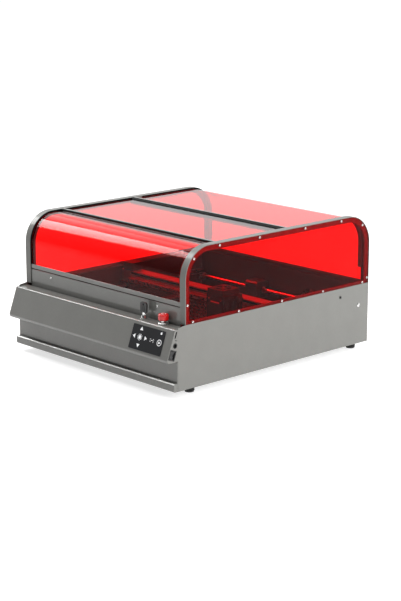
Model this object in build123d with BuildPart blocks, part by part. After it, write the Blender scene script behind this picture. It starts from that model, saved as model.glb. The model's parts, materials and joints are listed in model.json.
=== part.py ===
"""Desktop laser cutter: folded sheet-metal body, acrylic dome with a lifting lid, and a belt-driven
laser head over a bed that pulls out with the bottom drawer.

Frame: +X to the right seen from the front, +Y to the back, +Z up, millimetres.
The origin is at the middle of the overall length and width, on the surface that the feet stand on.
"""
import os
from math import atan2, cos, degrees, hypot, radians, sin

from build123d import *

os.makedirs("parts", exist_ok=True)

# ---------------------------------------------------------------- driving dimensions
BODY_W = 562.0            # outside width over the side panels
BODY_D = 629.0            # drawer lip's front face to the rear panel's outer face
RIM_H = 145.0             # body's bottom edge to its rim
DOME_H = 313.0            # body's bottom edge to the top of the arches
DOME_FRONT = 34.0         # depth of the arches' front faces behind the drawer lip
DOME_R = 71.0             # outer radius of the arches' corners
FOOT_H = 17.0
FOOT_R = 12.0
CONSOLE_OVERHANG = 19.5   # how far the console stands out in front of the drawer lip
SPIGOT_L = 36.0           # duct spigot behind the rear panel
SHEET = 1.5               # sheet-metal thickness
BEND_R = 3.5              # outer radius of the console's and the drawer lip's bends
ACRYLIC = 3.0             # acrylic thickness
GAP = 0.3                 # clearance between pieces that move past each other
RUN_FIT = 0.05            # radial clearance of a running fit

# Lines across the dome, as depths behind the drawer lip
LID_BAR_D = 134.0         # lid's crossbar, front face
HINGE_D = 354.0           # lid hinge's axis
REAR_BAR_D = 358.0        # fixed crossbar, front face
BAR_W = 7.0

# Working parts
GANTRY_D = 333.0          # middle of the gantry's beam
HEAD_X = 145.0            # middle of the laser head
SHAFT_D = 575.0           # rear drive shaft
IDLER_D = 60.0            # front idler pulleys
DRIVE_H = 83.0            # height of the drive shaft and idlers
PULLEY_R = 6.37           # pitch radius of a 20-tooth pulley, 2 mm pitch
BELT_T = 1.4
BELT_W = 6.0
FAN_X = 120.0             # exhaust fan's middle
FAN_H = 74.0

FRONT_Y = -(BODY_D + SPIGOT_L - CONSOLE_OVERHANG) / 2
SIDE = BODY_W / 2
ARCH_IN = SIDE - 17.5     # inner face of each arch
LID_HALF = ARCH_IN - 0.9  # half width of the lid
WALL_IN = 266.0           # inner face of each chamber wall


def depth(d):
    """Y of a plane d behind the drawer lip's front face."""
    return FRONT_Y + d


def height(h):
    """Z of a plane h above the body's bottom edge."""
    return FOOT_H + h


DOME_MID = depth((DOME_FRONT + BODY_D) / 2)
DOME_D = BODY_D - DOME_FRONT


# ---------------------------------------------------------------- helpers
def block(x, d, h, mode=Mode.ADD):
    """A block between the limits x, depth d and height h, each a (low, high) pair."""
    centre = ((x[0] + x[1]) / 2, depth((d[0] + d[1]) / 2), height((h[0] + h[1]) / 2))
    with Locations(centre):
        Box(x[1] - x[0], d[1] - d[0], h[1] - h[0], mode=mode)


def blocks(x, d, h, mode=Mode.ADD):
    """The same block on the right and, mirrored, on the left."""
    block(x, d, h, mode)
    block((-x[1], -x[0]), d, h, mode)


def rod_x(x, d, h, r, mode=Mode.ADD):
    """A cylinder along X between the limits x."""
    with Locations(((x[0] + x[1]) / 2, depth(d), height(h))):
        Cylinder(r, x[1] - x[0], rotation=(0, 90, 0), mode=mode)


def rod_y(x, d, h, r, mode=Mode.ADD):
    """A cylinder along Y between the depths d."""
    with Locations((x, depth((d[0] + d[1]) / 2), height(h))):
        Cylinder(r, d[1] - d[0], rotation=(90, 0, 0), mode=mode)


def rod_z(x, d, h, r, mode=Mode.ADD):
    """A cylinder along Z between the heights h."""
    with Locations((x, depth(d), height((h[0] + h[1]) / 2))):
        Cylinder(r, h[1] - h[0], mode=mode)


def dome_outline(inset, low, mode=Mode.ADD):
    """Dome's side outline in a YZ sketch, inset from its outer face; it runs on below low."""
    top = height(DOME_H) - inset
    tall = top - low + DOME_R
    with Locations((DOME_MID, top - tall / 2)):
        RectangleRounded(DOME_D - 2 * inset, tall, DOME_R - inset, mode=mode)


def dome_band(x, outer, inner, low_h):
    """A band that follows the dome between two insets, standing on height low_h."""
    low = height(low_h)
    with BuildSketch(Plane.YZ.offset(x[0])) as band:
        dome_outline(outer, low)
        if inner is not None:
            dome_outline(inner, low, mode=Mode.SUBTRACT)
        with Locations((DOME_MID, low - DOME_R / 2)):
            Rectangle(DOME_D + 1, DOME_R, mode=Mode.SUBTRACT)
    extrude(band.sketch, amount=x[1] - x[0])


def profile_x(points, x, mode=Mode.ADD):
    """A prism along X from a closed outline of (depth, height) points."""
    with BuildSketch(Plane.YZ.offset(x[0])) as outline:
        with BuildLine():
            Polyline([(depth(d), height(h)) for d, h in points], close=True)
        make_face()
    extrude(outline.sketch, amount=x[1] - x[0], mode=mode)


def rotor(hub_r, tip_r, deep, blades):
    """A fan's rotor about the workplane's Z axis: hub with pitched blades."""
    Cylinder(hub_r, deep)
    with PolarLocations((hub_r + tip_r) / 2 - 1, blades):
        Box(tip_r - hub_r + 2, 1.8, deep * 1.1, rotation=(38, 0, 0))
    Cylinder(tip_r + 5, deep, mode=Mode.INTERSECT)


def fan_frame(size, bore_r, deep, hub_r):
    """A square fan frame about the workplane's Z axis, with its hub plate and struts at the back."""
    plate = 3.0
    Box(size, size, deep)
    Cylinder(bore_r, deep, mode=Mode.SUBTRACT)
    with Locations((0, 0, deep / 2 - plate / 2)):
        Cylinder(hub_r, plate)
        with PolarLocations((hub_r + bore_r) / 2, 4, start_angle=45):
            Box(bore_r - hub_r + 2, 4, plate)


# ================================================================ body and casing
FLANGE_IN = SIDE - ACRYLIC - SHEET      # inner face of the flange that the side acrylic lies on
RIM_FLANGE_H = RIM_H + 6
PANEL_FRONT = 11.9

PAN_HALF = SIDE - SHEET - 0.1
PAN_D = (14, BODY_D - SHEET - 0.1)
with BuildPart() as base_pan:
    block((-PAN_HALF, PAN_HALF), PAN_D, (0, SHEET))
    blocks((PAN_HALF - SHEET, PAN_HALF), PAN_D, (SHEET, 5.5))
    block((-PAN_HALF + SHEET, PAN_HALF - SHEET), (PAN_D[1] - SHEET, PAN_D[1]), (SHEET, 12))
base_pan.part.label = "base_pan"
export_step(base_pan.part, "parts/base_pan.step")

side_outline = [
    (PANEL_FRONT, 0), (PANEL_FRONT, 141.7), (DOME_FRONT, RIM_H), (BODY_D, RIM_H), (BODY_D, 0),
]
JACK_AT = (529.7, 124.0)  # depth and height of the small socket at the right rear
JACK_R = 3.6
for side_name, sign in (("right", 1), ("left", -1)):
    with BuildPart() as side_panel:
        profile_x(side_outline, sorted((sign * (SIDE - SHEET), sign * SIDE)))
        ledge = sorted((sign * FLANGE_IN, sign * (SIDE - SHEET)))
        lip = sorted((sign * FLANGE_IN, sign * (FLANGE_IN + SHEET)))
        block(ledge, (38, BODY_D - SHEET), (RIM_H - SHEET, RIM_H))
        block(lip, (38, BODY_D - SHEET), (RIM_H, RIM_FLANGE_H))
        if sign > 0:
            rod_x((SIDE - 2 * SHEET, SIDE), JACK_AT[0], JACK_AT[1], JACK_R, mode=Mode.SUBTRACT)
    side_panel.part.label = "side_panel_" + side_name
    export_step(side_panel.part, "parts/side_panel_" + side_name + ".step")

REAR_HOLE_R = 43.0
REAR_FLANGE_D = 618.4     # front face of the flange that the rear acrylic stands against
BETWEEN_ARCHES = (-ARCH_IN + 0.2, ARCH_IN - 0.2)
with BuildPart() as rear_panel:
    block((-PAN_HALF, PAN_HALF), (BODY_D - SHEET, BODY_D), (0, RIM_H))
    block(BETWEEN_ARCHES, (REAR_FLANGE_D, BODY_D - SHEET), (RIM_H - SHEET, RIM_H))
    block(BETWEEN_ARCHES, (REAR_FLANGE_D, REAR_FLANGE_D + SHEET), (RIM_H, RIM_FLANGE_H))
    rod_y(FAN_X, (BODY_D - 2, BODY_D + 1), FAN_H, REAR_HOLE_R, mode=Mode.SUBTRACT)
rear_panel.part.label = "rear_panel"
export_step(rear_panel.part, "parts/rear_panel.step")

FRONT_PANEL_D = 36.0
SEAM_H = 180.0            # top of the fixed front panel, where the lid begins
with BuildPart() as front_panel:
    block(BETWEEN_ARCHES, (FRONT_PANEL_D, FRONT_PANEL_D + SHEET), (68, SEAM_H))
    block(BETWEEN_ARCHES, (FRONT_PANEL_D, FRONT_PANEL_D + 5), (SEAM_H - SHEET, SEAM_H))
front_panel.part.label = "front_panel"
export_step(front_panel.part, "parts/front_panel.step")

BAFFLE_D = 597.0
BAFFLE_HOLE_R = 31.0
with BuildPart() as inner_walls:
    blocks((WALL_IN, WALL_IN + SHEET), (39, BAFFLE_D - GAP), (40, RIM_H - SHEET))
    blocks((WALL_IN + SHEET, FLANGE_IN), (39, BAFFLE_D - GAP), (RIM_H - 2 * SHEET, RIM_H - SHEET))
    block((-WALL_IN, WALL_IN), (BAFFLE_D, BAFFLE_D + 1.2), (40, RIM_H - SHEET))
    rod_y(FAN_X, (BAFFLE_D - 1, BAFFLE_D + 2), FAN_H, BAFFLE_HOLE_R, mode=Mode.SUBTRACT)
inner_walls.part.label = "inner_walls"
export_step(inner_walls.part, "parts/inner_walls.step")

WEB_DEPTH = 9.1           # how far the arch's inner web reaches below its outer face
LEDGE_W = 10.0            # width of the ledge under the lid's and the rear acrylic's edges
with BuildPart() as arches:
    for sign in (1, -1):
        dome_band(sorted((sign * ARCH_IN, sign * SIDE)), 0, SHEET, RIM_H + 0.2)
        dome_band(sorted((sign * FLANGE_IN, sign * (FLANGE_IN + SHEET))), SHEET, 14.0, RIM_FLANGE_H + 0.2)
        dome_band(sorted((sign * ARCH_IN, sign * (ARCH_IN + SHEET))), SHEET, WEB_DEPTH, RIM_H + 0.2)
        ledge = sorted((sign * (ARCH_IN - LEDGE_W), sign * ARCH_IN))
        dome_band(ledge, WEB_DEPTH - SHEET, WEB_DEPTH, SEAM_H + 0.2)
arches.part.label = "arches"
export_step(arches.part, "parts/arches.step")

with BuildPart() as side_acrylics:
    for sign in (1, -1):
        dome_band(sorted((sign * (SIDE - ACRYLIC), sign * SIDE)), SHEET + 0.1, None, RIM_H + 0.1)
side_acrylics.part.label = "side_acrylics"
export_step(side_acrylics.part, "parts/side_acrylics.step")

RECESS = 4.0              # acrylic's outer face below the arches' outer face
with BuildPart() as rear_acrylic:
    dome_band(BETWEEN_ARCHES, RECESS, RECESS + ACRYLIC, RIM_H + 0.1)
    block((-SIDE, SIDE), (REAR_BAR_D + BAR_W, BODY_D + 1), (0, DOME_H), mode=Mode.INTERSECT)
rear_acrylic.part.label = "rear_acrylic"
export_step(rear_acrylic.part, "parts/rear_acrylic.step")

# Fixed crossbar: an angle whose foot carries the rear acrylic's front edge.
# Below LEDGE_H the bars across the dome are shorter, to pass between the arches' inner ledges.
PLATE_TOP = DOME_H - RECESS
PLATE_LOW = PLATE_TOP - ACRYLIC
LEDGE_H = DOME_H - WEB_DEPTH + SHEET + GAP
LEDGE_HALF = ARCH_IN - LEDGE_W - 0.5
with BuildPart() as rear_crossbar:
    block(BETWEEN_ARCHES, (REAR_BAR_D, REAR_BAR_D + BAR_W), (LEDGE_H, DOME_H))
    block((-LEDGE_HALF, LEDGE_HALF), (REAR_BAR_D, REAR_BAR_D + BAR_W), (298, LEDGE_H))
    block((-LEDGE_HALF, LEDGE_HALF), (REAR_BAR_D + BAR_W, 376), (PLATE_LOW - 2, PLATE_LOW))
    fillet(rear_crossbar.edges().filter_by(Axis.X).group_by(Axis.Z)[-1], 0.8)
rear_crossbar.part.label = "rear_crossbar"
export_step(rear_crossbar.part, "parts/rear_crossbar.step")

# ================================================================ console
CONSOLE_TOP_H = 139.3
CONSOLE_LOW_H = 68.0
SLOPE_TOP = (3.8, CONSOLE_TOP_H)
SLOPE_LOW = (-CONSOLE_OVERHANG, 75.2)
CONSOLE_CHIN = (-16.8, CONSOLE_LOW_H)
CONSOLE_BACK = 34.0
slope_dy = SLOPE_TOP[0] - SLOPE_LOW[0]
slope_dz = SLOPE_TOP[1] - SLOPE_LOW[1]
slope_angle = degrees(atan2(slope_dz, slope_dy))
slope_plane = Plane(
    origin=(0, depth(SLOPE_TOP[0]), height(SLOPE_TOP[1])),
    x_dir=(1, 0, 0),
    z_dir=(0, -slope_dz / hypot(slope_dy, slope_dz), slope_dy / hypot(slope_dy, slope_dz)),
)
KEY_X, KEY_D = 158.0, 23.0
BARREL_R = 5.9            # key lock's barrel below the console's top
HOLE_FIT = 0.1            # clearance round a fixed barrel in its hole
STOP_BARREL_R = 8.0
ESTOP_X, ESTOP_D = 221.6, 23.8
ESTOP_R = 11.8
console_outline = [
    SLOPE_TOP, SLOPE_LOW, CONSOLE_CHIN, (CONSOLE_BACK, CONSOLE_LOW_H), (CONSOLE_BACK, CONSOLE_TOP_H),
]
with BuildPart() as console_shell:
    with BuildSketch(Plane.YZ.offset(-SIDE + SHEET + 0.1)):
        with BuildLine():
            Polyline([(depth(d), height(h)) for d, h in console_outline], close=True)
        bent = make_face()
        fillet(bent.vertices().sort_by(Axis.X)[:3], BEND_R)
        offset(amount=-SHEET, kind=Kind.ARC, mode=Mode.SUBTRACT)
    extrude(amount=BODY_W - 2 * SHEET - 0.2)
    through_top = (CONSOLE_TOP_H - 2 * SHEET, CONSOLE_TOP_H + 1)
    rod_z(KEY_X, KEY_D, through_top, BARREL_R + HOLE_FIT, mode=Mode.SUBTRACT)
    rod_z(ESTOP_X, ESTOP_D, through_top, STOP_BARREL_R + HOLE_FIT, mode=Mode.SUBTRACT)
console_shell.part.label = "console_shell"
export_step(console_shell.part, "parts/console_shell.step")

# Ports on the right-hand end, as (depth, height) of their middles
SLOT_AT = (6.1, 128.4)
SLOT_SIZE = (4.0, 14.5)
SOCKET_AT = (3.8, 104.5)
SOCKET_R = 6.3
ROCKER_AT = (-4.4, 84.6)
ROCKER_SIZE = (16.0, 21.0)
ROCKER_WALL = 1.4
ROCKER_DROP = 3.0         # rocker's axis below the end's outer face
PIVOT_R = 1.2
RESET_AT = (6.1, 116.1)
RESET_R = 1.5


def end_plane(at):
    """A sketch plane on the right-hand end, its Y axis along the console's slope."""
    return Plane(
        origin=(SIDE, depth(at[0]), height(at[1])),
        x_dir=(0, sin(radians(slope_angle)), -cos(radians(slope_angle))),
        z_dir=(1, 0, 0),
    )


# Z runs along the rocker's axis, X along the slope and Y outwards
rocker_axis = Plane(
    origin=end_plane(ROCKER_AT).offset(-ROCKER_DROP).origin,
    x_dir=end_plane(ROCKER_AT).y_dir,
    z_dir=end_plane(ROCKER_AT).x_dir,
)
end_outline = [
    SLOPE_TOP, SLOPE_LOW, CONSOLE_CHIN, (PANEL_FRONT - 0.2, CONSOLE_LOW_H),
    (PANEL_FRONT - 0.2, CONSOLE_TOP_H),
]
with BuildPart() as console_ends:
    for ends in ((SIDE - SHEET, SIDE), (-SIDE, -SIDE + SHEET)):
        profile_x(end_outline, ends)
    corners = console_ends.edges().filter_by(Axis.X).group_by(Axis.Y)
    fillet(corners[0] + corners[1] + corners[2], BEND_R)
    with BuildSketch(end_plane(SLOT_AT)):
        Rectangle(*SLOT_SIZE)
    extrude(amount=-2 * SHEET, mode=Mode.SUBTRACT)
    with BuildSketch(end_plane(SOCKET_AT)):
        Circle(SOCKET_R)
    extrude(amount=-2 * SHEET, mode=Mode.SUBTRACT)
    with BuildSketch(end_plane(ROCKER_AT)):
        Rectangle(*ROCKER_SIZE)
    extrude(amount=-2 * SHEET, mode=Mode.SUBTRACT)
    with BuildSketch(end_plane(RESET_AT)):
        Circle(RESET_R)
    extrude(amount=-2 * SHEET, mode=Mode.SUBTRACT)
console_ends.part.label = "console_ends"
export_step(console_ends.part, "parts/console_ends.step")

PAD_X = (151.4, 255.8)
PAD_S = (8.0, 63.0)
PAD_T = 1.0
with BuildPart() as control_pad:
    with BuildSketch(slope_plane):
        with Locations((sum(PAD_X) / 2, -sum(PAD_S) / 2)):
            RectangleRounded(PAD_X[1] - PAD_X[0], PAD_S[1] - PAD_S[0], 2.0)
    extrude(amount=PAD_T)
control_pad.part.label = "control_pad"
export_step(control_pad.part, "parts/control_pad.step")

with BuildPart() as main_board:
    block((-120, 60), (26, 27.6), (80, 130))
    block((-30, 0), (22, 26), (92, 116))
    for x in (-110, -85, -60, 25, 45):
        block((x - 5, x + 5), (20, 26), (120, 128))
main_board.part.label = "main_board"
export_step(main_board.part, "parts/main_board.step")

with BuildPart() as ports:
    with BuildSketch(end_plane(SLOT_AT)):
        Rectangle(*SLOT_SIZE)
        Rectangle(SLOT_SIZE[0] - 1.6, SLOT_SIZE[1] - 1.6, mode=Mode.SUBTRACT)
    extrude(amount=-6)
    with BuildSketch(end_plane(SOCKET_AT)):
        Circle(SOCKET_R)
        Circle(SOCKET_R - 2, mode=Mode.SUBTRACT)
    extrude(amount=-10)
    with BuildSketch(end_plane(SOCKET_AT).offset(-10)):
        Circle(SOCKET_R)
    extrude(amount=-2)
    with BuildSketch(end_plane(SOCKET_AT).offset(-10)):
        Circle(1.2)
    extrude(amount=7)
    with BuildSketch(Plane.YZ.offset(SIDE - 2 * SHEET)):
        with Locations((depth(JACK_AT[0]), height(JACK_AT[1]))):
            Circle(JACK_R)
            Circle(JACK_R / 2, mode=Mode.SUBTRACT)
    extrude(amount=2 * SHEET + 0.8)
    with BuildSketch(end_plane(ROCKER_AT)):
        Rectangle(*ROCKER_SIZE)
        Rectangle(ROCKER_SIZE[0] - 2 * ROCKER_WALL, ROCKER_SIZE[1] - 2 * ROCKER_WALL, mode=Mode.SUBTRACT)
    extrude(amount=-14)
    with BuildSketch(end_plane(ROCKER_AT).offset(-14)):
        Rectangle(*ROCKER_SIZE)
    extrude(amount=-2)
    with BuildSketch(end_plane(ROCKER_AT)):
        Rectangle(ROCKER_SIZE[0] + 2, ROCKER_SIZE[1] + 2)
        Rectangle(ROCKER_SIZE[0] - 2 * ROCKER_WALL, ROCKER_SIZE[1] - 2 * ROCKER_WALL, mode=Mode.SUBTRACT)
    extrude(amount=0.8)
    with Locations(Location(rocker_axis)):
        Cylinder(PIVOT_R + RUN_FIT, ROCKER_SIZE[0] + 2, mode=Mode.SUBTRACT)
ports.part.label = "ports"
export_step(ports.part, "parts/ports.step")

# Rocker: a vee-topped paddle that tips about an axis across the slope, inside the end's face
ROCKER_LONG = ROCKER_SIZE[1] / 2 - ROCKER_WALL - 0.6
ROCKER_WIDE = ROCKER_SIZE[0] - 2 * ROCKER_WALL - 2 * GAP
with BuildPart() as rocker:
    with BuildSketch(rocker_axis.offset(-ROCKER_WIDE / 2)) as paddle_side:
        with BuildLine():
            Polyline(
                (-ROCKER_LONG, 1.5), (-ROCKER_LONG + 1.5, -4.5), (ROCKER_LONG - 1.5, -4.5),
                (ROCKER_LONG, 2.5), (0, 0.2), close=True,
            )
        make_face()
    extrude(paddle_side.sketch, amount=ROCKER_WIDE)
    with BuildSketch(rocker_axis.offset(-ROCKER_SIZE[0] / 2 + 0.2)) as pivot:
        Circle(PIVOT_R)
    extrude(pivot.sketch, amount=(ROCKER_SIZE[0] - ROCKER_WIDE) / 2 - 0.2)
    mirror(about=rocker_axis)
rocker.part.label = "rocker"
export_step(rocker.part, "parts/rocker.step")

# Key switch and emergency stop on the console's top
COLLAR_R = 7.2
COLLAR_H = (CONSOLE_TOP_H, CONSOLE_TOP_H + 3.0)
CONE_TOP_H = COLLAR_H[1] + 5.0
PLUG_R = 4.34             # plug that turns with the key
PLUG_FIT = 0.06
PLUG_LOW_H = CONSOLE_TOP_H - 9
with BuildPart() as key_lock:
    rod_z(KEY_X, KEY_D, (CONSOLE_TOP_H - 22, CONSOLE_TOP_H), BARREL_R)
    rod_z(KEY_X, KEY_D, COLLAR_H, COLLAR_R)
    with Locations((KEY_X, depth(KEY_D), height((COLLAR_H[1] + CONE_TOP_H) / 2))):
        Cone(COLLAR_R - 0.6, PLUG_R + 0.9, CONE_TOP_H - COLLAR_H[1])
    rod_z(KEY_X, KEY_D, (PLUG_LOW_H, CONE_TOP_H + 1), PLUG_R + PLUG_FIT, mode=Mode.SUBTRACT)
key_lock.part.label = "key_lock"
export_step(key_lock.part, "parts/key_lock.step")

KEY_HEAD_H = (153.0, 176.5)
KEY_HEAD_HALF = 10.5
with BuildPart() as key:
    block((KEY_X - KEY_HEAD_HALF, KEY_X + KEY_HEAD_HALF), (KEY_D - 1.9, KEY_D + 1.9), KEY_HEAD_H)
    fillet(key.edges().filter_by(Axis.Y), 4.0)
    rod_y(KEY_X, (KEY_D - 3, KEY_D + 3), KEY_HEAD_H[1] - 5.5, 2.2, mode=Mode.SUBTRACT)
    block((KEY_X - 3.4, KEY_X + 3.4), (KEY_D - 1.0, KEY_D + 1.0), (CONE_TOP_H - 1, KEY_HEAD_H[0] + 2))
    rod_z(KEY_X, KEY_D, (PLUG_LOW_H + GAP, CONE_TOP_H - GAP), PLUG_R)
key.part.label = "key"
export_step(key.part, "parts/key.step")

STOP_STEM_R = 5.0
with BuildPart() as estop_base:
    rod_z(ESTOP_X, ESTOP_D, (CONSOLE_TOP_H - 20, CONSOLE_TOP_H), STOP_BARREL_R)
    rod_z(ESTOP_X, ESTOP_D, (CONSOLE_TOP_H, CONSOLE_TOP_H + 3.2), ESTOP_R)
    chamfer(estop_base.edges().group_by(Axis.Z)[-1], 0.8)
    rod_z(ESTOP_X, ESTOP_D, (CONSOLE_TOP_H - 17, CONSOLE_TOP_H + 4), STOP_STEM_R + 0.08, mode=Mode.SUBTRACT)
estop_base.part.label = "estop_base"
export_step(estop_base.part, "parts/estop_base.step")

STOP_HEAD_H = (147.0, 162.0)
with BuildPart() as estop_stem:
    rod_z(ESTOP_X, ESTOP_D, (CONSOLE_TOP_H - 12, STOP_HEAD_H[0]), STOP_STEM_R)
    rod_z(ESTOP_X, ESTOP_D, (STOP_HEAD_H[0], STOP_HEAD_H[0] + 8), 3.0)
estop_stem.part.label = "estop_stem"
export_step(estop_stem.part, "parts/estop_stem.step")

with BuildPart() as estop_head:
    rod_z(ESTOP_X, ESTOP_D, (STOP_HEAD_H[0] + GAP, STOP_HEAD_H[1]), ESTOP_R)
    fillet(estop_head.edges().group_by(Axis.Z)[-1], 4.0)
    chamfer(estop_head.edges().group_by(Axis.Z)[0], 2.0)
    rod_z(ESTOP_X, ESTOP_D, (STOP_HEAD_H[0], STOP_HEAD_H[0] + 8.4), 3.06, mode=Mode.SUBTRACT)
estop_head.part.label = "estop_head"
export_step(estop_head.part, "parts/estop_head.step")

# ================================================================ feet, screws, exhaust
FOOT_X = 253.0
FOOT_D = (71.0, 600.0)
with BuildPart() as feet:
    for x in (-FOOT_X, FOOT_X):
        for d in FOOT_D:
            rod_z(x, d, (-FOOT_H, 0), FOOT_R)
    chamfer(feet.edges().group_by(Axis.Z)[0], 2.0)
feet.part.label = "feet"
export_step(feet.part, "parts/feet.step")

SIDE_SCREWS = (
    [(d, 149.0) for d in (56, 195, 332, 469, 606)]
    + [(d, 307.0) for d in (136, 259, 406, 528)]
    + [(40, 188.0), (59.5, 288.0), (602.5, 288.0), (622.5, 158.0)]
)
SCREW_R = 2.75
SCREW_HEAD = 1.4
GROUND_AT = (594.7, 94.6) # depth and height of the large screw on each side
GROUND_R = 4.6
with BuildPart() as cover_screws:
    for d, h in SIDE_SCREWS:
        rod_x((SIDE, SIDE + SCREW_HEAD), d, h, SCREW_R)
        rod_x((-SIDE - SCREW_HEAD, -SIDE), d, h, SCREW_R)
    for x in (-188, 188):
        rod_y(x, (FRONT_PANEL_D - SCREW_HEAD, FRONT_PANEL_D), 169.6, SCREW_R)
    rod_x((SIDE, SIDE + SCREW_HEAD), GROUND_AT[0], GROUND_AT[1], GROUND_R)
    rod_x((-SIDE - SCREW_HEAD, -SIDE), GROUND_AT[0], GROUND_AT[1], GROUND_R)
    chamfer(cover_screws.faces().sort_by(Axis.X)[-1].edges(), 0.5)
cover_screws.part.label = "cover_screws"
export_step(cover_screws.part, "parts/cover_screws.step")

SPIGOT_R = 37.5
FLANGE_T = 2.5
with BuildPart() as exhaust_spigot:
    rod_y(FAN_X, (BODY_D, BODY_D + FLANGE_T), FAN_H, 52.0)
    rod_y(FAN_X, (BODY_D, BODY_D + SPIGOT_L), FAN_H, SPIGOT_R)
    rod_y(FAN_X, (BODY_D - 1, BODY_D + SPIGOT_L + 1), FAN_H, SPIGOT_R - 2, mode=Mode.SUBTRACT)
exhaust_spigot.part.label = "exhaust_spigot"
export_step(exhaust_spigot.part, "parts/exhaust_spigot.step")

FAN_BORE_R = 43.0
FAN_DEEP = 25.0
fan_plane = Plane(
    origin=(FAN_X, depth(BODY_D - SHEET - FAN_DEEP / 2), height(FAN_H)), x_dir=(1, 0, 0), z_dir=(0, -1, 0)
)
with BuildPart(fan_plane) as exhaust_fan:
    fan_frame(92, FAN_BORE_R, FAN_DEEP, 19)
    with GridLocations(82.5, 82.5, 2, 2):
        Cylinder(2.2, FAN_DEEP, mode=Mode.SUBTRACT)
exhaust_fan.part.label = "exhaust_fan"
export_step(exhaust_fan.part, "parts/exhaust_fan.step")

with BuildPart(fan_plane.offset(-2.5)) as exhaust_rotor:
    rotor(18.0, FAN_BORE_R - 6.5, 15.0, 7)
exhaust_rotor.part.label = "exhaust_rotor"
export_step(exhaust_rotor.part, "parts/exhaust_rotor.step")

# ================================================================ lid
LID_LOW_H = SEAM_H + 1.0
LIP_TOP_H = 192.0
ACRYLIC_FRONT_D = DOME_FRONT + RECESS
with BuildPart() as lid_acrylic_front:
    dome_band((-LID_HALF, LID_HALF), RECESS, RECESS + ACRYLIC, LID_LOW_H + 2)
    block((-SIDE, SIDE), (0, LID_BAR_D), (0, DOME_H), mode=Mode.INTERSECT)
lid_acrylic_front.part.label = "lid_acrylic_front"
export_step(lid_acrylic_front.part, "parts/lid_acrylic_front.step")

with BuildPart() as lid_acrylic_top:
    block((-LID_HALF, LID_HALF), (LID_BAR_D + BAR_W, 349), (PLATE_LOW, PLATE_TOP))
lid_acrylic_top.part.label = "lid_acrylic_top"
export_step(lid_acrylic_top.part, "parts/lid_acrylic_top.step")

with BuildPart() as lid_crossbar:
    block((-LID_HALF, LID_HALF), (LID_BAR_D, LID_BAR_D + BAR_W), (LEDGE_H, DOME_H - 0.3))
    block((-LEDGE_HALF, LEDGE_HALF), (LID_BAR_D - 7, LID_BAR_D + BAR_W + 7), (302, PLATE_LOW))
    fillet(lid_crossbar.edges().filter_by(Axis.X).group_by(Axis.Z)[-1], 0.8)
lid_crossbar.part.label = "lid_crossbar"
export_step(lid_crossbar.part, "parts/lid_crossbar.step")

with BuildPart() as lid_lip:
    block((-LID_HALF, LID_HALF), (FRONT_PANEL_D - 0.3, ACRYLIC_FRONT_D), (LID_LOW_H, LIP_TOP_H))
    block((-LID_HALF, LID_HALF), (ACRYLIC_FRONT_D, ACRYLIC_FRONT_D + ACRYLIC), (LID_LOW_H, LID_LOW_H + 2))
    fillet(lid_lip.edges().filter_by(Axis.X).group_by(Axis.Z)[-1], 0.6)
lid_lip.part.label = "lid_lip"
export_step(lid_lip.part, "parts/lid_lip.step")

KNUCKLES = 13             # odd ones belong to the fixed crossbar, even ones to the lid
KNUCKLE_R = 3.0
PIN_R = 1.2
HINGE_H = PLATE_TOP
knuckle_pitch = 2 * (LID_HALF - 2) / KNUCKLES


def knuckle_span(i):
    """Limits in X of knuckle i, counted from the left."""
    left = -LID_HALF + 2 + i * knuckle_pitch
    return (left + GAP / 2, left + knuckle_pitch - GAP / 2)


with BuildPart() as lid_hinge_bar:
    block((-LEDGE_HALF, LEDGE_HALF), (341, 350.4), (PLATE_LOW - 6, PLATE_LOW))
    block((-LID_HALF, LID_HALF), (349, 350.4), (LEDGE_H, HINGE_H))
    for i in range(1, KNUCKLES, 2):
        rod_x(knuckle_span(i), HINGE_D, HINGE_H, KNUCKLE_R)
        block(knuckle_span(i), (350, HINGE_D), (HINGE_H - 2, HINGE_H))
    rod_x((-LID_HALF, LID_HALF), HINGE_D, HINGE_H, PIN_R + 0.05, mode=Mode.SUBTRACT)
lid_hinge_bar.part.label = "lid_hinge_bar"
export_step(lid_hinge_bar.part, "parts/lid_hinge_bar.step")

with BuildPart() as hinge_leaf:
    block((-LID_HALF, LID_HALF), (REAR_BAR_D - 1.2, REAR_BAR_D), (LEDGE_H, HINGE_H + 0.5))
    block((-LEDGE_HALF, LEDGE_HALF), (REAR_BAR_D - 1.2, REAR_BAR_D), (299, LEDGE_H))
    for i in range(0, KNUCKLES, 2):
        rod_x(knuckle_span(i), HINGE_D, HINGE_H, KNUCKLE_R)
        block(knuckle_span(i), (HINGE_D, REAR_BAR_D - 1), (HINGE_H - 1, HINGE_H + 0.5))
    for i in range(1, KNUCKLES, 2):
        rod_x((knuckle_span(i)[0] - GAP, knuckle_span(i)[1] + GAP), HINGE_D, HINGE_H,
              KNUCKLE_R + GAP, mode=Mode.SUBTRACT)
    rod_x((-LID_HALF + 2, LID_HALF - 2), HINGE_D, HINGE_H, PIN_R)
hinge_leaf.part.label = "hinge_leaf"
export_step(hinge_leaf.part, "parts/hinge_leaf.step")

# ================================================================ drawer and bed
DRAWER_TOP_H = 66.5
LIP_H = 18.8
DRAWER_HALF = SIDE - 0.3
TRAY_HALF = 262.0
with BuildPart() as drawer_front:
    block((-DRAWER_HALF, DRAWER_HALF), (0, 10), (0, LIP_H))
    fillet(drawer_front.edges().filter_by(Axis.X).group_by(Axis.Y)[0], BEND_R)
    block((-DRAWER_HALF, DRAWER_HALF), (10, 11.5), (0, DRAWER_TOP_H))
    block((-DRAWER_HALF + SHEET, DRAWER_HALF - SHEET), (2 * SHEET, 10), (-1, LIP_H - 2 * SHEET),
          mode=Mode.SUBTRACT)
    block((-SIDE + 4, SIDE - 4), (11.5, 20), (DRAWER_TOP_H - SHEET, DRAWER_TOP_H))
drawer_front.part.label = "drawer_front"
export_step(drawer_front.part, "parts/drawer_front.step")

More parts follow.
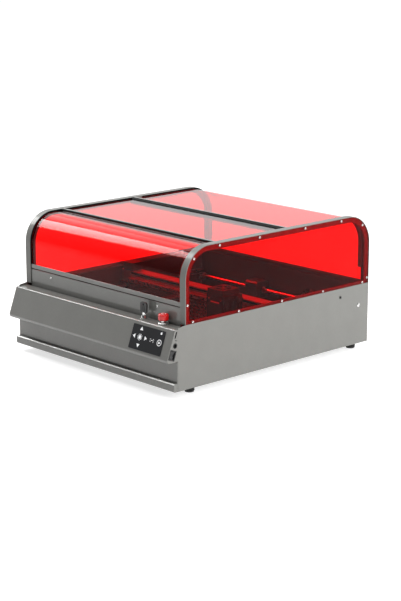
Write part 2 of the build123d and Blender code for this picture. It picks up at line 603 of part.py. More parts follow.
with BuildPart() as drawer_tray:
    block((-TRAY_HALF, TRAY_HALF), (11.5, 585), (4, 28))
    block((-TRAY_HALF + 1.2, TRAY_HALF - 1.2), (12.7, 583.8), (5.2, 29), mode=Mode.SUBTRACT)
drawer_tray.part.label = "drawer_tray"
export_step(drawer_tray.part, "parts/drawer_tray.step")

with BuildPart() as drawer_runners:
    blocks((TRAY_HALF, 267), (24, 575), (10, 24))
drawer_runners.part.label = "drawer_runners"
export_step(drawer_runners.part, "parts/drawer_runners.step")

with BuildPart() as drawer_channels:
    blocks((TRAY_HALF + 1, SIDE - SHEET), (16, 600), (6, 28))
    blocks((TRAY_HALF + 0.9, 267.4), (15, 601), (9.7, 24.3), mode=Mode.SUBTRACT)
drawer_channels.part.label = "drawer_channels"
export_step(drawer_channels.part, "parts/drawer_channels.step")

BED_HALF = 225.0
BED_D = (44.0, 516.0)
BED_TOP_H = 38.0
BED_BAR = 14.0
SLATS = 20
with BuildPart() as bed_frame:
    block((-BED_HALF, BED_HALF), BED_D, (5.2, 34))
    block((-BED_HALF + BED_BAR, BED_HALF - BED_BAR), (BED_D[0] + BED_BAR, BED_D[1] - BED_BAR),
          (5, 35), mode=Mode.SUBTRACT)
bed_frame.part.label = "bed_frame"
export_step(bed_frame.part, "parts/bed_frame.step")

slat_pitch = (BED_D[1] - BED_D[0] - 2 * BED_BAR) / SLATS
with BuildPart() as bed_slats:
    for i in range(SLATS):
        d = BED_D[0] + BED_BAR + (i + 0.5) * slat_pitch
        block((-BED_HALF + BED_BAR, BED_HALF - BED_BAR), (d - 1, d + 1), (24, BED_TOP_H))
bed_slats.part.label = "bed_slats"
export_step(bed_slats.part, "parts/bed_slats.step")

# ================================================================ Y drive
Y_BEAM_X = (244.0, WALL_IN)
Y_BEAM_H = (71.0, 93.0)
Y_BEAM_D = (76.0, 560.0)
RAIL_W, RAIL_T = 9.0, 6.5
BLOCK_W, BLOCK_L, BLOCK_T = 20.0, 40.0, 10.0
RAIL_X = sum(Y_BEAM_X) / 2 - 1
BELT_X = (236.5, 242.5)
PULLEY_X = (235.0, 243.6)

with BuildPart() as y_guides:
    blocks(Y_BEAM_X, Y_BEAM_D, Y_BEAM_H)
    blocks((Y_BEAM_X[0] + 7, Y_BEAM_X[1] - 7), (Y_BEAM_D[0] - 1, Y_BEAM_D[1] + 1),
           (Y_BEAM_H[0] - 1, Y_BEAM_H[0] + 6), mode=Mode.SUBTRACT)
y_guides.part.label = "y_guides"
export_step(y_guides.part, "parts/y_guides.step")

with BuildPart() as y_rails:
    blocks((RAIL_X - RAIL_W / 2, RAIL_X + RAIL_W / 2), Y_BEAM_D, (Y_BEAM_H[1], Y_BEAM_H[1] + RAIL_T))
y_rails.part.label = "y_rails"
export_step(y_rails.part, "parts/y_rails.step")

SHAFT_R = 4.0
IDLER_PIN_R = 2.5
with BuildPart() as y_brackets:
    blocks(Y_BEAM_X, (SHAFT_D - 12, SHAFT_D + 12), (70, 96))
    for x in ((Y_BEAM_X[0] - 1, Y_BEAM_X[1] + 1), (-Y_BEAM_X[1] - 1, -Y_BEAM_X[0] + 1)):
        rod_x(x, SHAFT_D, DRIVE_H, SHAFT_R + RUN_FIT, mode=Mode.SUBTRACT)
    blocks((Y_BEAM_X[0] + 2, Y_BEAM_X[1]), (IDLER_D - 12, IDLER_D + 14), (70, 96))
    rod_x((233, Y_BEAM_X[0] + 4), IDLER_D, DRIVE_H, IDLER_PIN_R)
    rod_x((-Y_BEAM_X[0] - 4, -233), IDLER_D, DRIVE_H, IDLER_PIN_R)
y_brackets.part.label = "y_brackets"
export_step(y_brackets.part, "parts/y_brackets.step")

MOTOR = 42.0
Y_MOTOR_X = (-62.0, -22.0)
with BuildPart() as y_motor:
    block(Y_MOTOR_X, (SHAFT_D - MOTOR / 2, SHAFT_D + MOTOR / 2), (DRIVE_H - MOTOR / 2, DRIVE_H + MOTOR / 2))
    chamfer(y_motor.edges().filter_by(Axis.X), 4.0)
    block((Y_MOTOR_X[0], Y_MOTOR_X[1]), (SHAFT_D + MOTOR / 2 - 1, BAFFLE_D), (DRIVE_H - 14, DRIVE_H + 14))
    rod_x((Y_MOTOR_X[0] - 1, Y_MOTOR_X[1] + 1), SHAFT_D, DRIVE_H, SHAFT_R + RUN_FIT, mode=Mode.SUBTRACT)
y_motor.part.label = "y_motor"
export_step(y_motor.part, "parts/y_motor.step")

FLANGE_R = PULLEY_R + 1.6
with BuildPart() as y_shaft:
    rod_x((-WALL_IN + 2, WALL_IN - 2), SHAFT_D, DRIVE_H, SHAFT_R)
    for side in (1, -1):
        near, far = sorted((side * PULLEY_X[0], side * PULLEY_X[1]))
        rod_x((near, far), SHAFT_D, DRIVE_H, PULLEY_R)
        rod_x((near, near + 1), SHAFT_D, DRIVE_H, FLANGE_R)
        rod_x((far - 1, far), SHAFT_D, DRIVE_H, FLANGE_R)
    rod_x((-18, -8), SHAFT_D, DRIVE_H, 8.0)
y_shaft.part.label = "y_shaft"
export_step(y_shaft.part, "parts/y_shaft.step")

with BuildPart() as y_idlers:
    for side in (1, -1):
        near, far = sorted((side * PULLEY_X[0], side * PULLEY_X[1]))
        rod_x((near, far), IDLER_D, DRIVE_H, PULLEY_R)
        rod_x((near, near + 1), IDLER_D, DRIVE_H, FLANGE_R)
        rod_x((far - 1, far), IDLER_D, DRIVE_H, FLANGE_R)
    rod_x((-SIDE, SIDE), IDLER_D, DRIVE_H, IDLER_PIN_R + RUN_FIT, mode=Mode.SUBTRACT)
y_idlers.part.label = "y_idlers"
export_step(y_idlers.part, "parts/y_idlers.step")

with BuildPart() as y_belts:
    for x in (BELT_X[0], -BELT_X[1]):
        with BuildSketch(Plane.YZ.offset(x)):
            with Locations((depth((IDLER_D + SHAFT_D) / 2), height(DRIVE_H))):
                SlotCenterToCenter(SHAFT_D - IDLER_D, 2 * (PULLEY_R + GAP + BELT_T))
                SlotCenterToCenter(SHAFT_D - IDLER_D, 2 * (PULLEY_R + GAP), mode=Mode.SUBTRACT)
        extrude(amount=BELT_W)
y_belts.part.label = "y_belts"
export_step(y_belts.part, "parts/y_belts.step")

# ================================================================ gantry
BEAM_D = (GANTRY_D - 15, GANTRY_D + 15)
BEAM_H = (107.0, 137.0)
BEAM_HALF = 262.0
BEAM_WALL = 2.0
X_PULLEY_X = 238.0
X_BELT_H = (127.0, 133.0)
BELT_RUN_H = DRIVE_H + PULLEY_R + GAP

with BuildPart() as truck_plates:
    blocks((230, 264), (GANTRY_D - 22, GANTRY_D + 22), (103, BEAM_H[0]))
    blocks((230, 235), (GANTRY_D - 16, GANTRY_D + 16), (BELT_RUN_H - 6, 103))
    blocks((235, 243.4), (GANTRY_D - 16, GANTRY_D + 16), (BELT_RUN_H - 6, BELT_RUN_H - 0.4))
    blocks((235, 243.4), (GANTRY_D - 16, GANTRY_D + 16), (BELT_RUN_H + BELT_T + 0.4, 103))
truck_plates.part.label = "truck_plates"
export_step(truck_plates.part, "parts/truck_plates.step")

with BuildPart() as y_blocks:
    blocks((RAIL_X - BLOCK_W / 2, RAIL_X + BLOCK_W / 2), (GANTRY_D - BLOCK_L / 2, GANTRY_D + BLOCK_L / 2),
           (Y_BEAM_H[1] + 2, Y_BEAM_H[1] + BLOCK_T))
    blocks((RAIL_X - RAIL_W / 2 - GAP, RAIL_X + RAIL_W / 2 + GAP), (GANTRY_D - 30, GANTRY_D + 30),
           (Y_BEAM_H[1], Y_BEAM_H[1] + RAIL_T + GAP), mode=Mode.SUBTRACT)
y_blocks.part.label = "y_blocks"
export_step(y_blocks.part, "parts/y_blocks.step")

IDLER_SHAFT_R = 2.5
with BuildPart() as x_beam:
    block((-BEAM_HALF, BEAM_HALF), BEAM_D, BEAM_H)
    block((-BEAM_HALF - 1, BEAM_HALF + 1), (BEAM_D[0] + BEAM_WALL, BEAM_D[1] - BEAM_WALL),
          (BEAM_H[0] + BEAM_WALL, BEAM_H[1] - BEAM_WALL), mode=Mode.SUBTRACT)
    block((-230, 236), (BEAM_D[0] - 1, BEAM_D[0] + BEAM_WALL + 1), (124, 134.3), mode=Mode.SUBTRACT)
    rod_z(-X_PULLEY_X, GANTRY_D, (BEAM_H[1] - 3, BEAM_H[1] + 1), 5.0, mode=Mode.SUBTRACT)
    rod_z(X_PULLEY_X, GANTRY_D, (BEAM_H[0] - 1, BEAM_H[1] + 1), IDLER_SHAFT_R + RUN_FIT, mode=Mode.SUBTRACT)
x_beam.part.label = "x_beam"
export_step(x_beam.part, "parts/x_beam.step")

X_RAIL_H = 114.0
with BuildPart() as x_rail:
    block((-234, 234), (BEAM_D[0] - RAIL_T, BEAM_D[0]), (X_RAIL_H - RAIL_W / 2, X_RAIL_H + RAIL_W / 2))
x_rail.part.label = "x_rail"
export_step(x_rail.part, "parts/x_rail.step")

X_MOTOR = 35.0
X_MOTOR_TOP = BEAM_H[1] + 20
with BuildPart() as x_motor:
    block((-X_PULLEY_X - X_MOTOR / 2, -X_PULLEY_X + X_MOTOR / 2),
          (GANTRY_D - X_MOTOR / 2, GANTRY_D + X_MOTOR / 2), (BEAM_H[1], X_MOTOR_TOP))
    chamfer(x_motor.edges().filter_by(Axis.Z), 3.5)
    rod_z(-X_PULLEY_X, GANTRY_D, (BEAM_H[1] - 1, BEAM_H[1] + 12), IDLER_SHAFT_R + RUN_FIT, mode=Mode.SUBTRACT)
x_motor.part.label = "x_motor"
export_step(x_motor.part, "parts/x_motor.step")

with BuildPart() as x_belt:
    with BuildSketch(Plane.XY.offset(height(X_BELT_H[0]))):
        with Locations((0, depth(GANTRY_D))):
            SlotCenterToCenter(2 * X_PULLEY_X, 2 * (PULLEY_R + GAP + BELT_T))
            SlotCenterToCenter(2 * X_PULLEY_X, 2 * (PULLEY_R + GAP), mode=Mode.SUBTRACT)
    extrude(amount=BELT_W)
x_belt.part.label = "x_belt"
export_step(x_belt.part, "parts/x_belt.step")

for pulley_name, x, shaft in (("x_pulley", -X_PULLEY_X, (124, 147)), ("x_idler", X_PULLEY_X, (107.5, 137.8))):
    with BuildPart() as pulley:
        rod_z(x, GANTRY_D, (X_BELT_H[0] - 1.5, X_BELT_H[1] + 1.5), PULLEY_R)
        rod_z(x, GANTRY_D, (X_BELT_H[0] - 1.5, X_BELT_H[0] - 0.5), FLANGE_R)
        rod_z(x, GANTRY_D, (X_BELT_H[1] + 0.5, X_BELT_H[1] + 1.5), FLANGE_R)
        rod_z(x, GANTRY_D, shaft, IDLER_SHAFT_R)
    pulley.part.label = pulley_name
    export_step(pulley.part, "parts/" + pulley_name + ".step")

# ================================================================ carriage and laser head
PLATE_D = (BEAM_D[0] - BLOCK_T - 4, BEAM_D[0] - BLOCK_T)
RUN_D = GANTRY_D - PULLEY_R - GAP          # inner face of the belt's front run
KNOB_X = (HEAD_X + 32, HEAD_X + 44)
KNOB_D, KNOB_H = 294.0, 142.0
with BuildPart() as carriage_plate:
    block((HEAD_X - 32, HEAD_X + 32), PLATE_D, (92, 152))
    block((HEAD_X - 12, HEAD_X + 12), (PLATE_D[1], RUN_D + 3.4), (124.4, 126.6))
    block((HEAD_X - 12, HEAD_X + 12), (PLATE_D[1], RUN_D - BELT_T - 0.4), (124.4, 133.4))
    block((HEAD_X - 12, HEAD_X + 12), (RUN_D + 0.4, RUN_D + 3.4), (124.4, 133.4))
    block((KNOB_X[0] - 3, KNOB_X[0]), (KNOB_D - 8, PLATE_D[1]), (KNOB_H - 8, KNOB_H + 8))
    rod_x((KNOB_X[0] - 4, KNOB_X[0] + 1), KNOB_D, KNOB_H, 2.5 + RUN_FIT, mode=Mode.SUBTRACT)
carriage_plate.part.label = "carriage_plate"
export_step(carriage_plate.part, "parts/carriage_plate.step")

with BuildPart() as x_block:
    block((HEAD_X - BLOCK_L / 2, HEAD_X + BLOCK_L / 2), (BEAM_D[0] - BLOCK_T, BEAM_D[0] - 2),
          (X_RAIL_H - BLOCK_W / 2, X_RAIL_H + BLOCK_W / 2))
    block((HEAD_X - 30, HEAD_X + 30), (BEAM_D[0] - RAIL_T - GAP, BEAM_D[0]),
          (X_RAIL_H - RAIL_W / 2 - GAP, X_RAIL_H + RAIL_W / 2 + GAP), mode=Mode.SUBTRACT)
x_block.part.label = "x_block"
export_step(x_block.part, "parts/x_block.step")

with BuildPart() as lock_knob:
    rod_x((KNOB_X[0] - 2.6, KNOB_X[0] + 4), KNOB_D, KNOB_H, 2.5)
    rod_x((KNOB_X[0] + GAP, KNOB_X[1]), KNOB_D, KNOB_H, 7.0)
    chamfer(lock_knob.faces().sort_by(Axis.X)[-1].edges(), 1.0)
lock_knob.part.label = "lock_knob"
export_step(lock_knob.part, "parts/lock_knob.step")

HEAD_W = 57.0
HEAD_D = (252.0, PLATE_D[0] - 0.4)
HEAD_H = (76.0, 152.0)
FINS = 11
with BuildPart() as laser_housing:
    block((HEAD_X - HEAD_W / 2, HEAD_X + HEAD_W / 2), HEAD_D, HEAD_H)
    fin_pitch = (HEAD_D[1] - HEAD_D[0]) / FINS
    for i in range(1, FINS - 2):
        d = HEAD_D[0] + i * fin_pitch
        for x in (-1, 1):
            block((HEAD_X + x * (HEAD_W / 2 - 3) - 4, HEAD_X + x * (HEAD_W / 2 - 3) + 4),
                  (d, d + fin_pitch / 2), (HEAD_H[0] + 12, HEAD_H[1] - 8), mode=Mode.SUBTRACT)
    rod_z(HEAD_X, sum(HEAD_D) / 2, (HEAD_H[0] - 1, HEAD_H[0] + 30), 6.0, mode=Mode.SUBTRACT)
laser_housing.part.label = "laser_housing"
export_step(laser_housing.part, "parts/laser_housing.step")

NOZZLE_H = 58.0
nozzle_mid = (HEAD_X, depth(sum(HEAD_D) / 2), 0)
with BuildPart() as laser_nozzle:
    with BuildSketch(Plane(origin=nozzle_mid, x_dir=(1, 0, 0), z_dir=(0, -1, 0))):
        with BuildLine():
            Polyline(
                (6.0, height(HEAD_H[0])), (15.0, height(HEAD_H[0])), (15.0, height(HEAD_H[0] - 5)),
                (5.0, height(NOZZLE_H)), (1.8, height(NOZZLE_H)), (1.8, height(NOZZLE_H + 4)),
                (6.0, height(NOZZLE_H + 12)), close=True,
            )
        make_face()
    revolve(axis=Axis(nozzle_mid, (0, 0, 1)))
laser_nozzle.part.label = "laser_nozzle"
export_step(laser_nozzle.part, "parts/laser_nozzle.step")

HEAD_FAN_DEEP = 13.0
head_fan_plane = Plane(origin=(HEAD_X, depth(sum(HEAD_D) / 2), height(HEAD_H[1] + HEAD_FAN_DEEP / 2)))
with BuildPart(head_fan_plane) as laser_fan:
    fan_frame(HEAD_D[1] - HEAD_D[0], 20.5, HEAD_FAN_DEEP, 9)
laser_fan.part.label = "laser_fan"
export_step(laser_fan.part, "parts/laser_fan.step")

with BuildPart(head_fan_plane.offset(-1.7)) as laser_rotor:
    rotor(8.5, 14.0, 8.0, 7)
laser_rotor.part.label = "laser_rotor"
export_step(laser_rotor.part, "parts/laser_rotor.step")
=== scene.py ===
"""Desktop laser cutter: finishes, small parts and studio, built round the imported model.

Metres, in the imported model's frame: +X to the right seen from the front, +Y to the back, +Z up.
"""
import json
from math import cos, pi, radians, sin

import bmesh
import bpy
from mathutils import Matrix, Vector


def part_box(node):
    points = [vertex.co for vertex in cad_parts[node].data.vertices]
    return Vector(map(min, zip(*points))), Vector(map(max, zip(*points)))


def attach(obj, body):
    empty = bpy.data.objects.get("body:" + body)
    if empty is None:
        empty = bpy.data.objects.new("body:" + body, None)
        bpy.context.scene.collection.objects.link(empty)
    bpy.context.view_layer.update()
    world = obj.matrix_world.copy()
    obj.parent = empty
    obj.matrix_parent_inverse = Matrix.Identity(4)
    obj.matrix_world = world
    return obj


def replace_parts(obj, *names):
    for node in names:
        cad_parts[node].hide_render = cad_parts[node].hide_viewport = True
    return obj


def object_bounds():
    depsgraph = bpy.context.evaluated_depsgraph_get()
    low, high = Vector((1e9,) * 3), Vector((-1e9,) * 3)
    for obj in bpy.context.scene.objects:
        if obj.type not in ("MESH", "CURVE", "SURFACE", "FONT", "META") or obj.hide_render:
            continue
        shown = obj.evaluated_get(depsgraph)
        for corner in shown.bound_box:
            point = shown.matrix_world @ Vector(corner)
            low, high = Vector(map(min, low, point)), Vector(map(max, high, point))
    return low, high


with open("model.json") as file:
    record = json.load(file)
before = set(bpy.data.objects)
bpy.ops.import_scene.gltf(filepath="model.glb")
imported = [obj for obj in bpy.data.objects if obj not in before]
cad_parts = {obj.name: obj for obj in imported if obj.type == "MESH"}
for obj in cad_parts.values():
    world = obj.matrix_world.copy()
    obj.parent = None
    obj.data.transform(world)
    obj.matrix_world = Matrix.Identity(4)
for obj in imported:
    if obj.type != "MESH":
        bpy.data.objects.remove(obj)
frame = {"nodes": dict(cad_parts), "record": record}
cad_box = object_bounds()
nodes = frame["nodes"]
MM = 0.001

RIGHT = Vector((1, 0, 0))
BACK = Vector((0, 1, 0))
UP = Vector((0, 0, 1))


# ---------------------------------------------------------------- node helpers
def material_tree(name):
    """A new material, its node tree and its Principled shader."""
    material = bpy.data.materials.new(name)
    material.use_nodes = True
    tree = material.node_tree
    return material, tree, tree.nodes["Principled BSDF"]


def add_node(tree, kind, inputs=None, **settings):
    """A node of that kind; inputs maps a socket to a value or to an output that feeds it."""
    made = tree.nodes.new(kind)
    for key, value in settings.items():
        setattr(made, key, value)
    for key, value in (inputs or {}).items():
        if isinstance(value, bpy.types.NodeSocket):
            tree.links.new(value, made.inputs[key])
        else:
            made.inputs[key].default_value = value
    return made


def object_space(tree, stretch=(1, 1, 1)):
    """Object coordinates in metres, scaled along each axis."""
    place = add_node(tree, "ShaderNodeTexCoord")
    mapping = add_node(tree, "ShaderNodeMapping", {"Vector": place.outputs["Object"], "Scale": stretch})
    return mapping.outputs["Vector"]


def noise(tree, vector, scale, detail=4.0):
    """A noise pattern's value between 0 and 1, with that many cells to a metre."""
    inputs = {"Vector": vector, "Scale": scale, "Detail": detail}
    return add_node(tree, "ShaderNodeTexNoise", inputs).outputs["Fac"]


def spread(tree, value, low, high):
    """A 0 to 1 pattern, contrasted and mapped to the range low to high."""
    inputs = {"Value": value, "From Min": 0.3, "From Max": 0.7, "To Min": low, "To Max": high}
    return add_node(tree, "ShaderNodeMapRange", inputs).outputs["Result"]


def math_node(tree, operation, a, b):
    """The result of a two-value maths node."""
    return add_node(tree, "ShaderNodeMath", {0: a, 1: b}, operation=operation).outputs[0]


def mix_colour(tree, factor, a, b):
    """Colour a, turning to b as factor goes from 0 to 1."""
    # The colour sockets of a Mix node share their names with the float ones, so they go by number.
    return add_node(tree, "ShaderNodeMix", {0: factor, 6: a, 7: b}, data_type="RGBA").outputs[2]


def shade(colour, factor):
    """An opaque colour, scaled."""
    return (*(min(1.0, c * factor) for c in colour), 1.0)


def surface(name, colour, rough, metal=0.0, grain=900, depth=0.02, mottle=0.08, rough_spread=0.08,
            stretch=(1, 1, 1), edge=0.0, specular=0.5, coat=0.0, coat_ior=1.5, coat_rough=0.05):
    """A solid finish with grain in relief, blotches in its colour and roughness, and corners rounded in the
    shading and lightened in colour as a painted highlight.

    grain is in cells to a metre and depth in millimetres; edge is the radius in millimetres that corners are
    softened and lightened over, the lightening being a painted highlight; coat is the weight of a clear
    lacquer.
    """
    material, tree, shader = material_tree(name)
    vector = object_space(tree, stretch)
    fine = noise(tree, vector, grain, 3.0)
    broad = noise(tree, object_space(tree), 22, 5.0)
    blotches = spread(tree, broad, 0.0, 1.0)
    tint = mix_colour(tree, blotches, shade(colour, 1 - mottle), shade(colour, 1 + mottle))
    bump = {"Height": fine, "Distance": depth * MM, "Strength": 0.6}
    if edge:
        soft = add_node(tree, "ShaderNodeBevel", {"Radius": edge * MM}, samples=4)
        flat = add_node(tree, "ShaderNodeNewGeometry")
        along = add_node(tree, "ShaderNodeVectorMath", {0: soft.outputs["Normal"], 1: flat.outputs["Normal"]},
                         operation="DOT_PRODUCT")
        # Corners turn towards 1.9 times the colour: a painted highlight along the edges.
        edge_highlight = add_node(tree, "ShaderNodeMapRange", {
            "Value": along.outputs["Value"],
            "From Min": 0.98, "From Max": 0.75, "To Min": 0.0, "To Max": 0.55})
        tint = mix_colour(tree, edge_highlight.outputs["Result"], tint, shade(colour, 1.9))
        bump["Normal"] = soft.outputs["Normal"]
    tree.links.new(tint, shader.inputs["Base Color"])
    patches = spread(tree, noise(tree, vector, grain / 9, 4.0), rough - rough_spread, rough + rough_spread)
    tree.links.new(patches, shader.inputs["Roughness"])
    relief = add_node(tree, "ShaderNodeBump", bump)
    tree.links.new(relief.outputs["Normal"], shader.inputs["Normal"])
    shader.inputs["Metallic"].default_value = metal
    shader.inputs["Specular IOR Level"].default_value = specular
    shader.inputs["Coat Weight"].default_value = coat
    shader.inputs["Coat IOR"].default_value = coat_ior
    shader.inputs["Coat Roughness"].default_value = coat_rough
    material.diffuse_color = shade(colour, 1)
    return material


def acrylic_material():
    """Clear red acrylic: a tint for what is behind it and a mirror that strengthens at a slant."""
    material, tree, shader = material_tree("red_acrylic")
    tree.nodes.remove(shader)
    slant = add_node(tree, "ShaderNodeLayerWeight", {"Blend": 0.5}).outputs["Facing"]
    steep = math_node(tree, "POWER", slant, MIRROR_POWER)
    share = add_node(tree, "ShaderNodeMapRange", {
        "Value": steep, "From Min": 0.0, "From Max": 1.0, "To Min": MIRROR_FACING, "To Max": 1.0})
    vector = object_space(tree)
    wave = noise(tree, vector, 6, 1.0)
    relief = add_node(tree, "ShaderNodeBump", {"Height": wave, "Distance": 0.4 * MM, "Strength": 0.04})
    haze = spread(tree, noise(tree, vector, 40, 6.0), 0.02, 0.07)
    smear = spread(tree, noise(tree, vector, 9, 4.0), 0.0, 1.0)
    tint = mix_colour(tree, smear, shade(ACRYLIC_TINT, 0.97), shade(ACRYLIC_TINT, 1.03))
    clear = add_node(tree, "ShaderNodeBsdfTransparent", {"Color": tint})
    mirror = add_node(tree, "ShaderNodeBsdfAnisotropic", {
        "Color": (1, 1, 1, 1), "Roughness": haze, "Normal": relief.outputs["Normal"]})
    both = add_node(tree, "ShaderNodeMixShader", {
        0: share.outputs["Result"], 1: clear.outputs[0], 2: mirror.outputs[0]})
    tree.links.new(both.outputs[0], tree.nodes["Material Output"].inputs["Surface"])
    material.diffuse_color = (0.9, 0.02, 0.02, 0.5)
    return material


# ---------------------------------------------------------------- materials
ACRYLIC_TINT = (0.97, 0.16, 0.16)   # what one face of a panel passes
MIRROR_FACING = 0.005               # what one face mirrors of a ray that meets it head on
MIRROR_POWER = 5.0
WARM_GREY = (0.116, 0.116, 0.108)

FINISHES = {
    "grey_paint": surface("grey_paint", WARM_GREY, 0.5, grain=1500, depth=0.03, mottle=0.035, edge=0.7,
                          coat=0.8, coat_ior=1.45, coat_rough=0.10, specular=0.2),
    "dark_sheet": surface("dark_sheet", (0.016, 0.016, 0.017), 0.5, grain=900, depth=0.01, mottle=0.15,
                          edge=0.5),
    "red_acrylic": acrylic_material(),
    "pad_film": surface("pad_film", (0.008, 0.0085, 0.010), 0.5, grain=3500, depth=0.01, mottle=0.1,
                        specular=0.18),
    "circuit_board": surface("circuit_board", (0.01, 0.10, 0.045), 0.35, grain=700, depth=0.03, mottle=0.3),
    "black_plastic": surface("black_plastic", (0.012, 0.012, 0.012), 0.5, grain=2600, depth=0.03,
                             mottle=0.12),
    "gloss_black_plastic": surface("gloss_black_plastic", (0.012, 0.012, 0.013), 0.18, grain=300,
                                   depth=0.01, mottle=0.1, rough_spread=0.05),
    "red_plastic": surface("red_plastic", (0.46, 0.006, 0.006), 0.22, grain=420, depth=0.01, mottle=0.06,
                           rough_spread=0.06, coat=0.15),
    "bright_metal": surface("bright_metal", (0.78, 0.78, 0.77), 0.17, metal=1.0, grain=800, depth=0.005,
                            mottle=0.05, rough_spread=0.06),
    "pale_metal": surface("pale_metal", (0.72, 0.72, 0.71), 0.32, metal=1.0, grain=1600, depth=0.008,
                          mottle=0.05),
    "pale_aluminium": surface("pale_aluminium", (0.42, 0.42, 0.42), 0.40, metal=1.0, grain=700, depth=0.01,
                              mottle=0.05, stretch=(0.04, 1, 1), edge=0.5),
    "black_aluminium": surface("black_aluminium", (0.022, 0.022, 0.024), 0.36, metal=0.4, grain=2200,
                               depth=0.012, mottle=0.15, edge=0.4),
    "steel": surface("steel", (0.50, 0.50, 0.49), 0.30, metal=1.0, grain=1500, depth=0.008, mottle=0.1,
                     stretch=(1, 0.05, 1)),
    "motor_black": surface("motor_black", (0.014, 0.014, 0.015), 0.34, grain=900, depth=0.02, mottle=0.15,
                           edge=0.4),
    "belt_rubber": surface("belt_rubber", (0.014, 0.014, 0.014), 0.62, grain=2500, depth=0.03, mottle=0.2),
    "foot_rubber": surface("foot_rubber", (0.012, 0.012, 0.012), 0.66, grain=1800, depth=0.04, mottle=0.2),
}
SEAL_RUBBER = surface("seal_rubber", (0.006, 0.006, 0.006), 0.8, grain=2200, depth=0.02, mottle=0.2,
                      specular=0.06)
# Pale glossy finish of the strip over the drawer lip's bend: a painted highlight.
PAINTED_BEND_HIGHLIGHT = surface("painted_bend_highlight", (0.88, 0.88, 0.86), 0.35, grain=1500, depth=0.01, mottle=0.05, coat=1.0)
ARCH_PAINT = surface("arch_paint", WARM_GREY, 0.5, grain=1500, depth=0.03, mottle=0.035, edge=0.7,
                     coat=0.30, coat_ior=1.45, coat_rough=0.12, specular=0.2)
# Near-black paint for the hinge bar and leaf, dark enough to also stand in for the shade in the gap in front
# of the fixed crossbar: partly painted shade.
HINGE_BLACK_AND_SHADE = surface("hinge_black_and_shade", (0.010, 0.010, 0.010), 0.6, grain=1600, depth=0.01, mottle=0.15,
                      specular=0.10)
WHITE_INK = surface("white_ink", (0.80, 0.81, 0.82), 0.4, grain=3000, depth=0.01, mottle=0.05)

for part in frame["record"]["subparts"]:
    slots = nodes[part["node"]].data.materials
    slots.clear()
    slots.append(FINISHES[part["material_slot"]])
for name, paint in {"arches": ARCH_PAINT, "lid_hinge_bar": HINGE_BLACK_AND_SHADE, "hinge_leaf": HINGE_BLACK_AND_SHADE}.items():
    nodes[name].data.materials[0] = paint


# ---------------------------------------------------------------- mesh helpers
def finished(name, mesh_builder, body, slot_name, material=None, smooth=True):
    """Turns a bmesh into a piece that rides on a body, with the finish of a slot."""
    mesh = bpy.data.meshes.new(name)
    bmesh.ops.recalc_face_normals(mesh_builder, faces=mesh_builder.faces)
    mesh_builder.to_mesh(mesh)
    mesh_builder.free()
    piece = bpy.data.objects.new(name, mesh)
    bpy.context.scene.collection.objects.link(piece)
    mesh.materials.append(material or FINISHES[slot_name])
    if smooth:
        for face in mesh.polygons:
            face.use_smooth = True
        mesh.set_sharp_from_angle(angle=radians(35))
    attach(piece, body)
    return piece


def frame_matrix(origin, across, along):
    """Matrix of a local frame: its X along across, its Y along along, its Z the outward normal."""
    out = across.cross(along).normalized()
    matrix = Matrix((across, along, out)).transposed().to_4x4()
    matrix.translation = origin
    return matrix


def add_prism(builder, outline, matrix, low, high, hole=None):
    """A closed prism from a flat outline between the heights low and high, with an optional hole."""
    rings = []
    for points in (outline, hole):
        if points:
            rings.append([[builder.verts.new(matrix @ Vector((x, y, z))) for x, y in points]
                          for z in (low, high)])
    for bottom, top in rings:
        for i in range(len(bottom)):
            j = (i + 1) % len(bottom)
            builder.faces.new((bottom[i], bottom[j], top[j], top[i]))
    if hole:
        for level in (0, 1):
            outer, inner = rings[0][level], rings[1][level]
            for i in range(len(outer)):
                j = (i + 1) % len(outer)
                builder.faces.new((outer[i], outer[j], inner[j], inner[i]))
    else:
        builder.faces.new(rings[0][0])
        builder.faces.new(rings[0][1])


def add_turned(builder, profile, matrix, segments=32, shape=None):
    """A turned solid: profile is a list of (radius, height), closed to the axis at both ends.

    shape(i, angle) scales the radius of profile point i at that angle.
    """
    rings = []
    for i, (radius, high) in enumerate(profile):
        ring = []
        for k in range(segments):
            angle = 2 * pi * k / segments
            r = radius * (shape(i, angle) if shape else 1.0)
            ring.append(builder.verts.new(matrix @ Vector((r * cos(angle), r * sin(angle), high))))
        rings.append(ring)
    for low, high in zip(rings, rings[1:]):
        for k in range(segments):
            n = (k + 1) % segments
            builder.faces.new((low[k], low[n], high[n], high[k]))
    for ring, (_, high) in ((rings[0], profile[0]), (rings[-1], profile[-1])):
        middle = builder.verts.new(matrix @ Vector((0, 0, high)))
        for k in range(segments):
            builder.faces.new((ring[k], ring[(k + 1) % segments], middle))


def circle(radius, count=32, centre=(0, 0)):
    """Points of a circle."""
    return [(centre[0] + radius * cos(2 * pi * k / count), centre[1] + radius * sin(2 * pi * k / count))
            for k in range(count)]


def rounded(width, tall, radius, steps=6):
    """Points of a rounded rectangle about the origin."""
    points = []
    for cx, cy, start in ((1, 1, 0), (-1, 1, 90), (-1, -1, 180), (1, -1, 270)):
        for k in range(steps + 1):
            angle = radians(start + 90 * k / steps)
            points.append((cx * (width / 2 - radius) + radius * cos(angle),
                           cy * (tall / 2 - radius) + radius * sin(angle)))
    return points


def islands(node):
    """(lowest corner, highest corner) of each separate solid of a CAD node."""
    builder = bmesh.new()
    builder.from_mesh(nodes[node].data)
    bmesh.ops.remove_doubles(builder, verts=builder.verts, dist=1e-6)
    unseen = set(builder.verts)
    found = []
    while unseen:
        stack = [unseen.pop()]
        group = []
        while stack:
            vert = stack.pop()
            group.append(vert.co.copy())
            for link in vert.link_edges:
                other = link.other_vert(vert)
                if other in unseen:
                    unseen.remove(other)
                    stack.append(other)
        found.append((Vector(map(min, zip(*group))), Vector(map(max, zip(*group)))))
    builder.free()
    return sorted(found, key=lambda box: tuple(box[0]))


